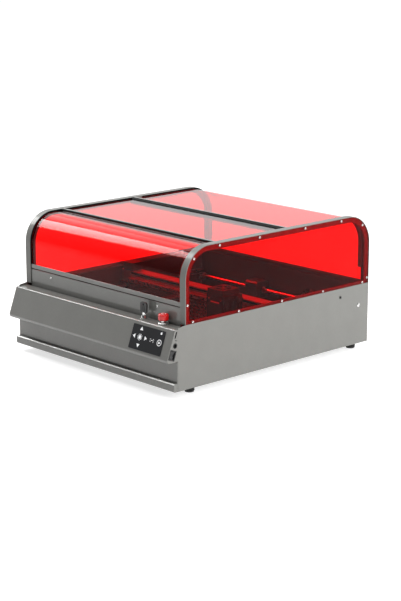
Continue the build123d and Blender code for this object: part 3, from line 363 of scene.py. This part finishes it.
# ---------------------------------------------------------------- screws and feet
HEX_SHARE = 0.5           # socket's half width as a share of the head's radius


def screw_shape(i, angle):
    """Turns the inner rings of a screw head into a hexagon."""
    if i < 4:
        return 1.0
    return 1.0 / cos((angle % (pi / 3)) - pi / 6)


def add_screw(builder, matrix, radius, tall):
    """A low domed head with a hexagon socket, standing on the matrix's plane."""
    profile = [
        (radius, 0.0), (radius, tall * 0.35), (radius * 0.86, tall * 0.8), (radius * 0.66, tall),
        (radius * HEX_SHARE, tall), (radius * HEX_SHARE, tall * 0.25),
    ]
    add_turned(builder, profile, matrix, 24, screw_shape)


def cover_screws():
    """Every cover screw, in place of the plain heads."""
    builder = bmesh.new()
    for low, high in islands("cover_screws"):
        size = high - low
        middle = (low + high) / 2
        if size.x < size.y:
            out = RIGHT if middle.x > 0 else -RIGHT
            base = Vector((low.x if middle.x > 0 else high.x, middle.y, middle.z))
            tall, radius = size.x, size.y / 2
        else:
            out = -BACK
            base = Vector((middle.x, high.y, middle.z))
            tall, radius = size.y, size.x / 2
        add_screw(builder, frame_matrix(base, UP.cross(out), UP), radius, tall)
    piece = finished("socket_screws", builder, "casing", "bright_metal")
    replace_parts(piece, "cover_screws")


def rubber_feet():
    """Ribbed rubber feet."""
    builder = bmesh.new()
    for low, high in islands("feet"):
        middle = (low + high) / 2
        radius = (high.x - low.x) / 2
        tall = high.z - low.z
        profile = [(radius * 0.80, 0.0), (radius * 0.88, tall * 0.05), (radius * 0.90, tall * 0.15)]
        for rib in range(4):
            foot = tall * (0.2 + rib * 0.17)
            profile += [(radius * 0.90, foot), (radius * 0.96, foot + tall * 0.03),
                        (radius * 0.96, foot + tall * 0.09), (radius * 0.90, foot + tall * 0.12)]
        profile += [(radius, tall * 0.90), (radius, tall)]
        add_turned(builder, profile, Matrix.Translation((middle.x, middle.y, low.z)), 48)
    piece = finished("ribbed_feet", builder, "casing", "foot_rubber")
    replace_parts(piece, "feet")


# ---------------------------------------------------------------- control pad
def pad_matrix():
    """Frame on the pad's face: origin at its middle, X to the right, Y up the slope."""
    mesh = nodes["control_pad"].data
    face = max((f for f in mesh.polygons if f.normal.y < 0), key=lambda f: f.area)
    normal = face.normal.copy()
    up_slope = normal.cross(RIGHT).normalized()
    level = max(v.co.dot(normal) for v in mesh.vertices)
    front = [v.co for v in mesh.vertices if v.co.dot(normal) > level - 1e-5]
    xs = [p.x for p in front]
    ups = [p.dot(up_slope) for p in front]
    middle = RIGHT * (min(xs) + max(xs)) / 2 + up_slope * (min(ups) + max(ups)) / 2 + normal * level
    return frame_matrix(middle, RIGHT, up_slope)


def turned_points(points, angle, centre):
    """Points turned about the origin, then moved to centre."""
    return [(centre[0] + x * cos(angle) - y * sin(angle), centre[1] + x * sin(angle) + y * cos(angle))
            for x, y in points]


def in_mm(points):
    """Points given in millimetres, in metres."""
    return [(x * MM, y * MM) for x, y in points]


INK_LOW, INK_HIGH = -0.05 * MM, 0.12 * MM      # printed marks stand a tenth of a millimetre proud
CROSS_AT = (-23.4, 1.2)                        # middle of the four arrows
ARROW_OUT = 18.6
ARROW = [(-4.9, -3.2), (4.9, -3.2), (0, 4.6)]
FRAME_AT = (16.0, 1.0)                         # middle of the mark that runs the beam round the work
START_AT = (40.2, 0.3)
LAMP_AT = (40.5, 21.7)


def frame_mark(builder, place):
    """Four corners round a dash."""
    for side in (-1, 1):
        for level in (-1, 1):
            corner = (FRAME_AT[0] + side * 4.2, FRAME_AT[1] + level * 3.0)
            bar = rounded(2.6, 0.7, 0.3, 2)
            add_prism(builder, in_mm(turned_points(bar, 0, corner)), place, INK_LOW, INK_HIGH)
            post = rounded(0.7, 2.6, 0.3, 2)
            end = (corner[0] + side * 1.3, corner[1] - level * 0.95)
            add_prism(builder, in_mm(turned_points(post, 0, end)), place, INK_LOW, INK_HIGH)
    dash = turned_points(rounded(6.4, 1.1, 0.5, 3), 0, FRAME_AT)
    add_prism(builder, in_mm(dash), place, INK_LOW, INK_HIGH)


def pad_marks():
    """Arrows, home, frame, start and flame marks, printed on the pad."""
    builder = bmesh.new()
    place = pad_matrix()
    for quarter in range(4):
        angle = quarter * pi / 2
        centre = (CROSS_AT[0] - ARROW_OUT * sin(angle), CROSS_AT[1] + ARROW_OUT * cos(angle))
        add_prism(builder, in_mm(turned_points(ARROW, angle, centre)), place, INK_LOW, INK_HIGH)
    home = [(-3.9, -4.0), (3.9, -4.0), (3.9, 0.4), (5.2, 0.4), (0, 5.4), (-5.2, 0.4), (-3.9, 0.4)]
    add_prism(builder, in_mm(turned_points(home, 0, CROSS_AT)), place, INK_LOW, INK_HIGH)
    add_prism(builder, in_mm(circle(6.9, 48, CROSS_AT)), place, INK_LOW, INK_HIGH * 0.8,
              in_mm(circle(6.2, 48, CROSS_AT)))
    add_prism(builder, in_mm(circle(7.2, 48, START_AT)), place, INK_LOW, INK_HIGH,
              in_mm(circle(5.8, 48, START_AT)))
    play = [(-2.4, -3.3), (3.6, 0), (-2.4, 3.3)]
    add_prism(builder, in_mm(turned_points(play, 0, START_AT)), place, INK_LOW, INK_HIGH)
    frame_mark(builder, place)
    flame = [(-1.9, -2.9), (1.9, -2.9), (2.7, -0.4), (1.3, 0.9), (0.8, 3.2), (-0.9, 1.6), (-2.6, -0.6)]
    add_prism(builder, in_mm(turned_points(flame, 0, LAMP_AT)), place, INK_LOW, INK_HIGH)
    finished("pad_marks", builder, "casing", "pad_film", WHITE_INK, smooth=False)


# ---------------------------------------------------------------- key and emergency stop
KEY_HEAD_TALL = 23.5 * MM
KEY_HEAD_WIDE = 21.0 * MM
KEY_HEAD_HALF = 1.9 * MM       # half the head's thickness
KEY_BLADE_HALF = 3.4 * MM      # half the blade's width


def key_head():
    """The key's moulded head with its ring hole, in place of the plain key."""
    low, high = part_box("key")
    middle = (low + high) / 2
    head = bmesh.new()
    place = frame_matrix(Vector((middle.x, middle.y, high.z - KEY_HEAD_TALL / 2)), RIGHT, UP)
    outline = rounded(KEY_HEAD_WIDE, KEY_HEAD_TALL, 5 * MM, 8)
    hole = circle(2.2 * MM, len(outline), (0, KEY_HEAD_TALL / 2 - 5.5 * MM))
    add_prism(head, outline, place, -KEY_HEAD_HALF, KEY_HEAD_HALF, hole)
    bmesh.ops.bevel(head, geom=[e for e in head.edges if e.calc_face_angle(0) > 1.2], offset=0.5 * MM,
                    segments=2, affect="EDGES", clamp_overlap=True)
    piece = finished("key_head", head, "key", "black_plastic")
    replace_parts(piece, "key")


def key_grip():
    """Upright ribs on both faces of the key's head."""
    low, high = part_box("key")
    middle = (low + high) / 2
    grip = bmesh.new()
    for side in (1, -1):
        for row in range(4):
            at = frame_matrix(Vector((middle.x + (row - 1.5) * 3.2 * MM, middle.y - side * KEY_HEAD_HALF,
                                      high.z - KEY_HEAD_TALL * 0.62)), RIGHT * side, UP)
            add_prism(grip, rounded(1.4 * MM, 10 * MM, 0.6 * MM, 3), at, -0.1 * MM, 0.35 * MM)
    finished("key_grip", grip, "key", "black_plastic", smooth=False)


def key_blade():
    """The key's blade, and the lock's plug that turns with it."""
    low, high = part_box("key")
    middle = (low + high) / 2
    cone_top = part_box("key_lock")[1].z
    blade = bmesh.new()
    place = frame_matrix(Vector((middle.x, middle.y, 0)), RIGHT, UP)
    neck = high.z - KEY_HEAD_TALL + 1 * MM
    foot = cone_top - 1 * MM
    notch = (neck - foot) * 0.5
    blank = [(KEY_BLADE_HALF, neck), (KEY_BLADE_HALF, foot + notch), (KEY_BLADE_HALF * 0.8, foot),
             (-KEY_BLADE_HALF, foot), (-KEY_BLADE_HALF, neck)]
    add_prism(blade, blank, place, -1.0 * MM, 1.0 * MM)
    turn = Matrix.Translation((middle.x, middle.y, 0))
    radius = (high.y - low.y) / 2
    plug = [(radius * 0.9, low.z), (radius, low.z + 0.5 * MM), (radius, cone_top - 0.6 * MM),
            (radius * 0.88, cone_top - 0.3 * MM)]
    add_turned(blade, plug, turn, 40)
    finished("key_blade", blade, "key", "bright_metal")


def stop_arrows():
    """Three turned arrows on the emergency stop's crown."""
    low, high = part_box("estop_head")
    middle = (low + high) / 2
    builder = bmesh.new()
    place = frame_matrix(Vector((middle.x, middle.y, high.z)), RIGHT, BACK)
    inner, outer, barb = 4.3 * MM, 5.5 * MM, 0.9 * MM
    steps = 8
    sweep = radians(62)
    for turn in range(3):
        start = turn * 2 * pi / 3
        end = start + sweep
        tip = end + radians(20)
        middle_radius = (inner + outer) / 2
        arrow = [(outer * cos(start + sweep * k / steps), outer * sin(start + sweep * k / steps))
                 for k in range(steps + 1)]
        arrow += [((outer + barb) * cos(end), (outer + barb) * sin(end)),
                  (middle_radius * cos(tip), middle_radius * sin(tip)),
                  ((inner - barb) * cos(end), (inner - barb) * sin(end))]
        arrow += [(inner * cos(start + sweep * k / steps), inner * sin(start + sweep * k / steps))
                  for k in range(steps, -1, -1)]
        add_prism(builder, arrow, place, -0.12 * MM, 0.06 * MM)
    finished("stop_arrows", builder, "estop_head", "red_plastic", WHITE_INK, smooth=False)


# ---------------------------------------------------------------- seals along the dome
SIDEWAYS = frame_matrix(Vector(), BACK, UP)      # its X and Y are the model's Y and Z


def long_strip(name, x, profile, body, slot_name, material=None):
    """A strip along X with a closed (y, z) profile."""
    builder = bmesh.new()
    add_prism(builder, profile, SIDEWAYS, x[0], x[1])
    return finished(name, builder, body, slot_name, material)


DOME_RADIUS = 71.0 * MM      # outer radius of the arches' corners
ARC_STEPS = 28
GASKET_X = (262.9 * MM, 263.5 * MM)
TAPE_X = (260.4 * MM, 263.4 * MM)
GASKET_INSETS = (0.5 * MM, 4.6 * MM)         # front gasket's edges below the dome's outer face
REAR_INSETS = (0.5 * MM, 3.8 * MM)
TAPE_INSETS = (7.15 * MM, 7.58 * MM)


def dome_path(inset, foot, end):
    """(y, z) points inset from the dome's outer face: up its front from z foot, along the top to y end."""
    low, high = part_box("arches")
    reach = DOME_RADIUS - inset
    points = [(low.y + inset, foot)]
    for k in range(ARC_STEPS + 1):
        angle = pi - pi / 2 * k / ARC_STEPS
        points.append((low.y + DOME_RADIUS + reach * cos(angle), high.z - DOME_RADIUS + reach * sin(angle)))
    points.append((end, high.z - inset))
    return points


def rear_path(inset, foot, start):
    """The same at the dome's back, from y start to its foot."""
    low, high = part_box("arches")
    across = low.y + high.y
    return [(across - y, z) for y, z in dome_path(inset, foot, across - start)]


def add_band(builder, x, outer, inner):
    """A band between two (y, z) paths, along both arches."""
    for low, high in (x, (-x[1], -x[0])):
        add_prism(builder, outer + inner[::-1], SIDEWAYS, low, high)


def arch_gaskets_and_shade():
    """Black rubber along the arches' inner faces, and foam tape on the ledge that the lid lies on; both
    near-black so that they also stand in for the shade in the gap between the arches and the lid: partly
    painted shade.
    """
    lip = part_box("lid_lip")[0].z
    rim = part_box("rear_acrylic")[0].z
    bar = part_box("rear_crossbar")
    front_end, rear_start = bar[0].y - 0.6 * MM, bar[1].y + 12 * MM
    builder = bmesh.new()
    add_band(builder, GASKET_X, *(dome_path(inset, lip, front_end) for inset in GASKET_INSETS))
    add_band(builder, GASKET_X, *(rear_path(inset, rim, rear_start) for inset in REAR_INSETS))
    finished("arch_gaskets_and_shade", builder, "casing", "belt_rubber", SEAL_RUBBER)
    builder = bmesh.new()
    add_band(builder, TAPE_X, *(dome_path(inset, lip, front_end) for inset in TAPE_INSETS))
    finished("ledge_tape_and_shade", builder, "casing", "belt_rubber", SEAL_RUBBER)


def crossbar_seals_and_shade():
    """Black rubber over the lid's crossbar and along the fixed crossbar's front face, near-black so that it
    also stands in for the shade on those front faces: partly painted shade.
    """
    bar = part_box("lid_crossbar")
    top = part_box("arches")[1].z
    half = bar[1].x - 0.1 * MM
    front, low = bar[0].y, top - 1.7 * MM
    cap = [(front - 0.8 * MM, low), (front, low), (front, bar[1].z), (front + 6.0 * MM, bar[1].z),
           (front + 6.0 * MM, top - 0.05 * MM), (front - 0.3 * MM, top - 0.05 * MM),
           (front - 0.8 * MM, top - 0.5 * MM)]
    long_strip("lid_seal_and_shade", (-half, half), cap, "lid", "belt_rubber", SEAL_RUBBER)
    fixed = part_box("rear_crossbar")
    face = fixed[0].y
    strip = [(face - 1.1 * MM, top - 2.8 * MM), (face, top - 2.8 * MM), (face, top - 0.9 * MM),
             (face + 0.3 * MM, top - 0.15 * MM), (face - 0.7 * MM, top - 0.1 * MM),
             (face - 1.1 * MM, top - 0.5 * MM)]
    long_strip("hinge_seal_and_shade", (-half, half), strip, "casing", "belt_rubber", SEAL_RUBBER)


def seam_seal():
    """Black rubber in the seam between the fixed front panel and the lid's lip."""
    low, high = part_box("lid_lip")
    foot = low.z + 0.05 * MM
    strip = [(low.y - 0.12 * MM, foot), (low.y + 0.3 * MM, foot), (low.y + 0.3 * MM, foot + 1.3 * MM),
             (low.y - 0.12 * MM, foot + 1.3 * MM)]
    long_strip("seam_seal", (low.x + 0.3 * MM, high.x - 0.3 * MM), strip, "lid", "belt_rubber", SEAL_RUBBER)


LIP_BEND = 3.5 * MM       # outer radius of the drawer lip's bend
LIP_TALL = 18.8 * MM


def lip_painted_highlight():
    """A pale glossy strip laid over the drawer lip's top bend: a painted highlight."""
    low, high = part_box("drawer_front")
    bend = LIP_BEND
    lip_top = low.z + LIP_TALL
    arc = [(low.y + bend - (bend + proud) * sin(angle), lip_top - bend + (bend + proud) * cos(angle))
           for proud, turns in ((0.12 * MM, range(7)), (-0.1 * MM, range(6, -1, -1)))
           for angle in (radians(15 + 9 * k) for k in turns)]
    long_strip("lip_painted_highlight", (low.x + 0.3 * MM, high.x - 0.3 * MM), arc, "drawer", "grey_paint", PAINTED_BEND_HIGHLIGHT)


# ---------------------------------------------------------------- toothed belts
TOOTH_SHARE = 0.42        # a tooth's height as a share of the belt's thickness


def belt_loop(builder, matrix, straight, radius, wide, thick, pitch):
    """A toothed belt round two pulleys straight apart, in the matrix's XY plane, from 0 to wide along Z."""
    around = pi * radius
    total = 2 * (straight + around)
    count = int(total / pitch) * 2
    rings = []
    for k in range(count):
        s = total * k / count
        tooth = 0.0 if k % 2 else thick * TOOTH_SHARE
        if s < straight:
            point, out = Vector((s - straight / 2, -radius)), Vector((0, -1))
        elif s < straight + around:
            angle = (s - straight) / radius - pi / 2
            out = Vector((cos(angle), sin(angle)))
            point = Vector((straight / 2, 0)) + out * radius
        elif s < 2 * straight + around:
            point, out = Vector((straight / 2 - (s - straight - around), radius)), Vector((0, 1))
        else:
            angle = (s - 2 * straight - around) / radius + pi / 2
            out = Vector((cos(angle), sin(angle)))
            point = Vector((-straight / 2, 0)) + out * radius
        inner = point + out * (thick * TOOTH_SHARE - tooth)
        outer = point + out * thick
        rings.append([builder.verts.new(matrix @ Vector((p.x, p.y, z)))
                      for p, z in ((inner, 0), (outer, 0), (outer, wide), (inner, wide))])
    for k, ring in enumerate(rings):
        nxt = rings[(k + 1) % count]
        for i in range(4):
            j = (i + 1) % 4
            builder.faces.new((ring[i], nxt[i], nxt[j], ring[j]))


BELT_PITCH = 2 * MM
BELT_THICK = 1.4 * MM


def toothed_belts():
    """The toothed X belt and the pair of Y belts, in place of the plain loops."""
    low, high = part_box("x_belt")
    middle = (low + high) / 2
    radius = (high.y - low.y) / 2 - BELT_THICK
    reach = (high.x - low.x) - 2 * (radius + BELT_THICK)
    builder = bmesh.new()
    place = frame_matrix(Vector((middle.x, middle.y, low.z)), RIGHT, BACK)
    belt_loop(builder, place, reach, radius, high.z - low.z, BELT_THICK, BELT_PITCH)
    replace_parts(finished("x_toothed_belt", builder, "gantry", "belt_rubber", smooth=False), "x_belt")
    builder = bmesh.new()
    for low, high in islands("y_belts"):
        middle = (low + high) / 2
        radius = (high.z - low.z) / 2 - BELT_THICK
        reach = (high.y - low.y) - 2 * (radius + BELT_THICK)
        place = frame_matrix(Vector((low.x, middle.y, middle.z)), BACK, UP)
        belt_loop(builder, place, reach, radius, high.x - low.x, BELT_THICK, BELT_PITCH)
    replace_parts(finished("y_toothed_belts", builder, "casing", "belt_rubber", smooth=False), "y_belts")


# ---------------------------------------------------------------- knob, laser head, exhaust guard
KNURLS = 18
RIM_WIDE = 11.7 * MM      # length of the knob's grooved rim


def knurl(i, angle):
    """Grooves round the knob's rim."""
    return 1.0 - 0.06 * (0.5 + 0.5 * cos(KNURLS * angle)) ** 2 if 1 <= i <= 4 else 1.0


def knurled_knob():
    """The knurled knob that locks the laser head's height."""
    low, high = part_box("lock_knob")
    middle = (low + high) / 2
    radius = (high.y - low.y) / 2
    builder = bmesh.new()
    place = frame_matrix(Vector((low.x, middle.y, middle.z)), BACK, UP)
    end = high.x - low.x
    foot = end - RIM_WIDE
    profile = [(2.5 * MM, 0.0), (2.5 * MM, foot), (radius * 0.9, foot), (radius, foot + 1 * MM),
               (radius, end - 1.5 * MM), (radius * 0.86, end), (radius * 0.5, end),
               (radius * 0.4, end - 1.2 * MM)]
    add_turned(builder, profile, place, KNURLS * 6, lambda i, angle: knurl(i - 1, angle))
    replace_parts(finished("knurled_knob", builder, "lock_knob", "black_plastic"), "lock_knob")


def head_cover():
    """A cover plate with screws and a light pipe on the laser head's front."""
    low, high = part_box("laser_housing")
    middle = (low + high) / 2
    width, tall = high.x - low.x, high.z - low.z
    place = frame_matrix(Vector((middle.x, low.y, middle.z)), RIGHT, UP)
    builder = bmesh.new()
    add_prism(builder, rounded(width - 8 * MM, tall - 10 * MM, 4 * MM), place, -0.1 * MM, 1.0 * MM)
    bmesh.ops.bevel(builder, geom=[e for e in builder.edges if e.calc_face_angle(0) > 1.2], offset=0.35 * MM,
                    segments=2, affect="EDGES", clamp_overlap=True)
    finished("head_cover", builder, "laser_head", "motor_black")
    builder = bmesh.new()
    for x in (-1, 1):
        for z in (-1, 1):
            at = place @ Matrix.Translation((x * (width / 2 - 9 * MM), z * (tall / 2 - 10 * MM), 0.9 * MM))
            add_screw(builder, at, 1.9 * MM, 0.9 * MM)
    finished("head_screws", builder, "laser_head", "steel")
    builder = bmesh.new()
    at = place @ Matrix.Translation((0, tall * 0.28, 0))
    add_prism(builder, rounded(width * 0.5, 3.2 * MM, 1.5 * MM), at, 0.8 * MM, 1.3 * MM)
    finished("head_light_pipe", builder, "laser_head", "pale_metal", WHITE_INK, smooth=False)


GUARD_WIRE = 0.8 * MM                  # the wire's radius
GUARD_RINGS = (8, 15, 22, 29, 35)      # radii in millimetres
GUARD_INSET = 6 * MM                   # how far the rings lie behind the spigot's front end
STRUT_START, STRUT_LONG = 7 * MM, 28.2 * MM


def add_wire_ring(builder, matrix, radius):
    """A ring of wire about the matrix's Z axis."""
    around = 72
    sides = 8
    rings = []
    for k in range(around):
        angle = 2 * pi * k / around
        ring = []
        for j in range(sides):
            turn = 2 * pi * j / sides
            reach = radius + GUARD_WIRE * cos(turn)
            point = Vector((reach * cos(angle), reach * sin(angle), GUARD_WIRE * sin(turn)))
            ring.append(builder.verts.new(matrix @ point))
        rings.append(ring)
    for k in range(around):
        for j in range(sides):
            i, n = (j + 1) % sides, (k + 1) % around
            builder.faces.new((rings[k][j], rings[n][j], rings[n][i], rings[k][i]))


def exhaust_guard():
    """A wire guard of rings and struts inside the exhaust spigot."""
    low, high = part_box("exhaust_spigot")
    middle = (low + high) / 2
    builder = bmesh.new()
    at = low.y + GUARD_INSET
    place = frame_matrix(Vector((middle.x, at, middle.z)), -RIGHT, UP)
    for radius in GUARD_RINGS:
        add_wire_ring(builder, place, radius * MM)
    side = place.to_3x3() @ Vector((0, 0, 1))
    for quarter in range(4):
        angle = pi / 4 + quarter * pi / 2
        out = place.to_3x3() @ Vector((cos(angle), sin(angle), 0))
        start = Vector((middle.x, at + GUARD_WIRE, middle.z)) + out * STRUT_START
        add_prism(builder, circle(GUARD_WIRE, 8), frame_matrix(start, side, out.cross(side)), 0, STRUT_LONG)
    finished("exhaust_guard", builder, "casing", "steel")


# ---------------------------------------------------------------- rails
BOLT_STEP = 40 * MM
BOLT_RADIUS, BOLT_TALL = 2.6 * MM, 0.2 * MM
BOLT_SUNK = 0.05 * MM


def rail_bolts():
    """Bolt heads sunk along the linear rails."""
    builder = bmesh.new()
    for low, high in islands("y_rails"):
        count = int((high.y - low.y) / BOLT_STEP)
        for k in range(count):
            y = low.y + (k + 0.5) * (high.y - low.y) / count
            place = Matrix.Translation(((low.x + high.x) / 2, y, high.z - BOLT_SUNK))
            add_screw(builder, place, BOLT_RADIUS, BOLT_TALL)
    finished("y_rail_bolts", builder, "casing", "motor_black")
    builder = bmesh.new()
    low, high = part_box("x_rail")
    count = int((high.x - low.x) / BOLT_STEP)
    for k in range(count):
        x = low.x + (k + 0.5) * (high.x - low.x) / count
        place = frame_matrix(Vector((x, low.y + BOLT_SUNK, (low.z + high.z) / 2)), RIGHT, UP)
        add_screw(builder, place, BOLT_RADIUS, BOLT_TALL)
    finished("x_rail_bolts", builder, "gantry", "motor_black")


cover_screws()
rubber_feet()
pad_marks()
key_head()
key_grip()
key_blade()
stop_arrows()
arch_gaskets_and_shade()
crossbar_seals_and_shade()
seam_seal()
lip_painted_highlight()
toothed_belts()
knurled_knob()
head_cover()
exhaust_guard()
rail_bolts()


# ---------------------------------------------------------------- studio
FLOOR_GLOW = 0.70
WORLD_FRONT, WORLD_BACK = 0.08, 1.08    # the surround's strength in front of the object and behind it


def studio_floor():
    """A plain pale floor, far larger than the view and faintly lit from below."""
    builder = bmesh.new()
    bmesh.ops.create_grid(builder, x_segments=1, y_segments=1, size=30)
    mesh = bpy.data.meshes.new("studio_floor")
    builder.to_mesh(mesh)
    builder.free()
    floor = bpy.data.objects.new("studio_floor", mesh)
    bpy.context.scene.collection.objects.link(floor)
    floor.location.z = cad_box[0].z - 0.2 * MM
    backlit = surface("studio_floor", (0.40, 0.40, 0.40), 0.7, grain=40, depth=0.01, mottle=0.01)
    shader = backlit.node_tree.nodes["Principled BSDF"]
    shader.inputs["Emission Color"].default_value = (1, 1, 1, 1)
    shader.inputs["Emission Strength"].default_value = FLOOR_GLOW
    mesh.materials.append(backlit)


def softbox(name, place, aim, size, power, mirrored=True):
    """A rectangular soft light that faces aim; mirrored says that glossy surfaces show it."""
    light = bpy.data.lights.new(name, "AREA")
    light.shape = "RECTANGLE"
    light.size, light.size_y = size
    light.energy = power
    lamp = bpy.data.objects.new(name, light)
    lamp.location = place
    lamp.rotation_euler = (Vector(aim) - Vector(place)).to_track_quat("-Z", "Y").to_euler()
    lamp.visible_glossy = mirrored
    bpy.context.scene.collection.objects.link(lamp)


def studio_world():
    """A white surround behind the object that falls off towards the front."""
    world = bpy.data.worlds.new("studio")
    bpy.context.scene.world = world
    world.use_nodes = True
    tree = world.node_tree
    place = add_node(tree, "ShaderNodeTexCoord")
    toward = add_node(tree, "ShaderNodeVectorMath", {0: place.outputs["Generated"], 1: (-0.7, 0.68, 0.2)},
                      operation="DOT_PRODUCT")
    level = add_node(tree, "ShaderNodeMapRange", {
        "Value": toward.outputs["Value"],
        "From Min": -0.25, "From Max": 0.45, "To Min": WORLD_FRONT, "To Max": WORLD_BACK})
    level.interpolation_type = "SMOOTHSTEP"
    tree.links.new(level.outputs["Result"], tree.nodes["Background"].inputs["Strength"])
    tree.nodes["Background"].inputs["Color"].default_value = (1, 1, 1, 1)


def studio_camera():
    """The camera at the picture's viewing angle."""
    lens = bpy.data.cameras.new("camera")
    lens.lens = 98.85
    camera = bpy.data.objects.new("camera", lens)
    camera.location = (2.8130, -2.61475, 1.0682)
    camera.rotation_euler = Vector((-0.7086, 0.6634, -0.2402)).to_track_quat("-Z", "Y").to_euler()
    bpy.context.scene.collection.objects.link(camera)
    bpy.context.scene.camera = camera


studio_floor()
studio_world()
studio_camera()
softbox("right_softbox", (3.2, 0.6, 1.4), (0.2, 0.1, 0.1), (2.6, 2.0), 185, mirrored=False)
softbox("top_softbox", (0.2, 0.0, 3.2), (0, 0, 0), (4.0, 4.0), 105)
softbox("left_bright", (-1.75, -0.58, 1.72), (-0.05, -0.25, 0.25), (0.85, 0.85), 40)
softbox("left_broad", (-1.75, 0.30, 1.65), (-0.05, -0.1, 0.25), (0.75, 0.9), 3)
bpy.context.scene.view_settings.view_transform = "Standard"
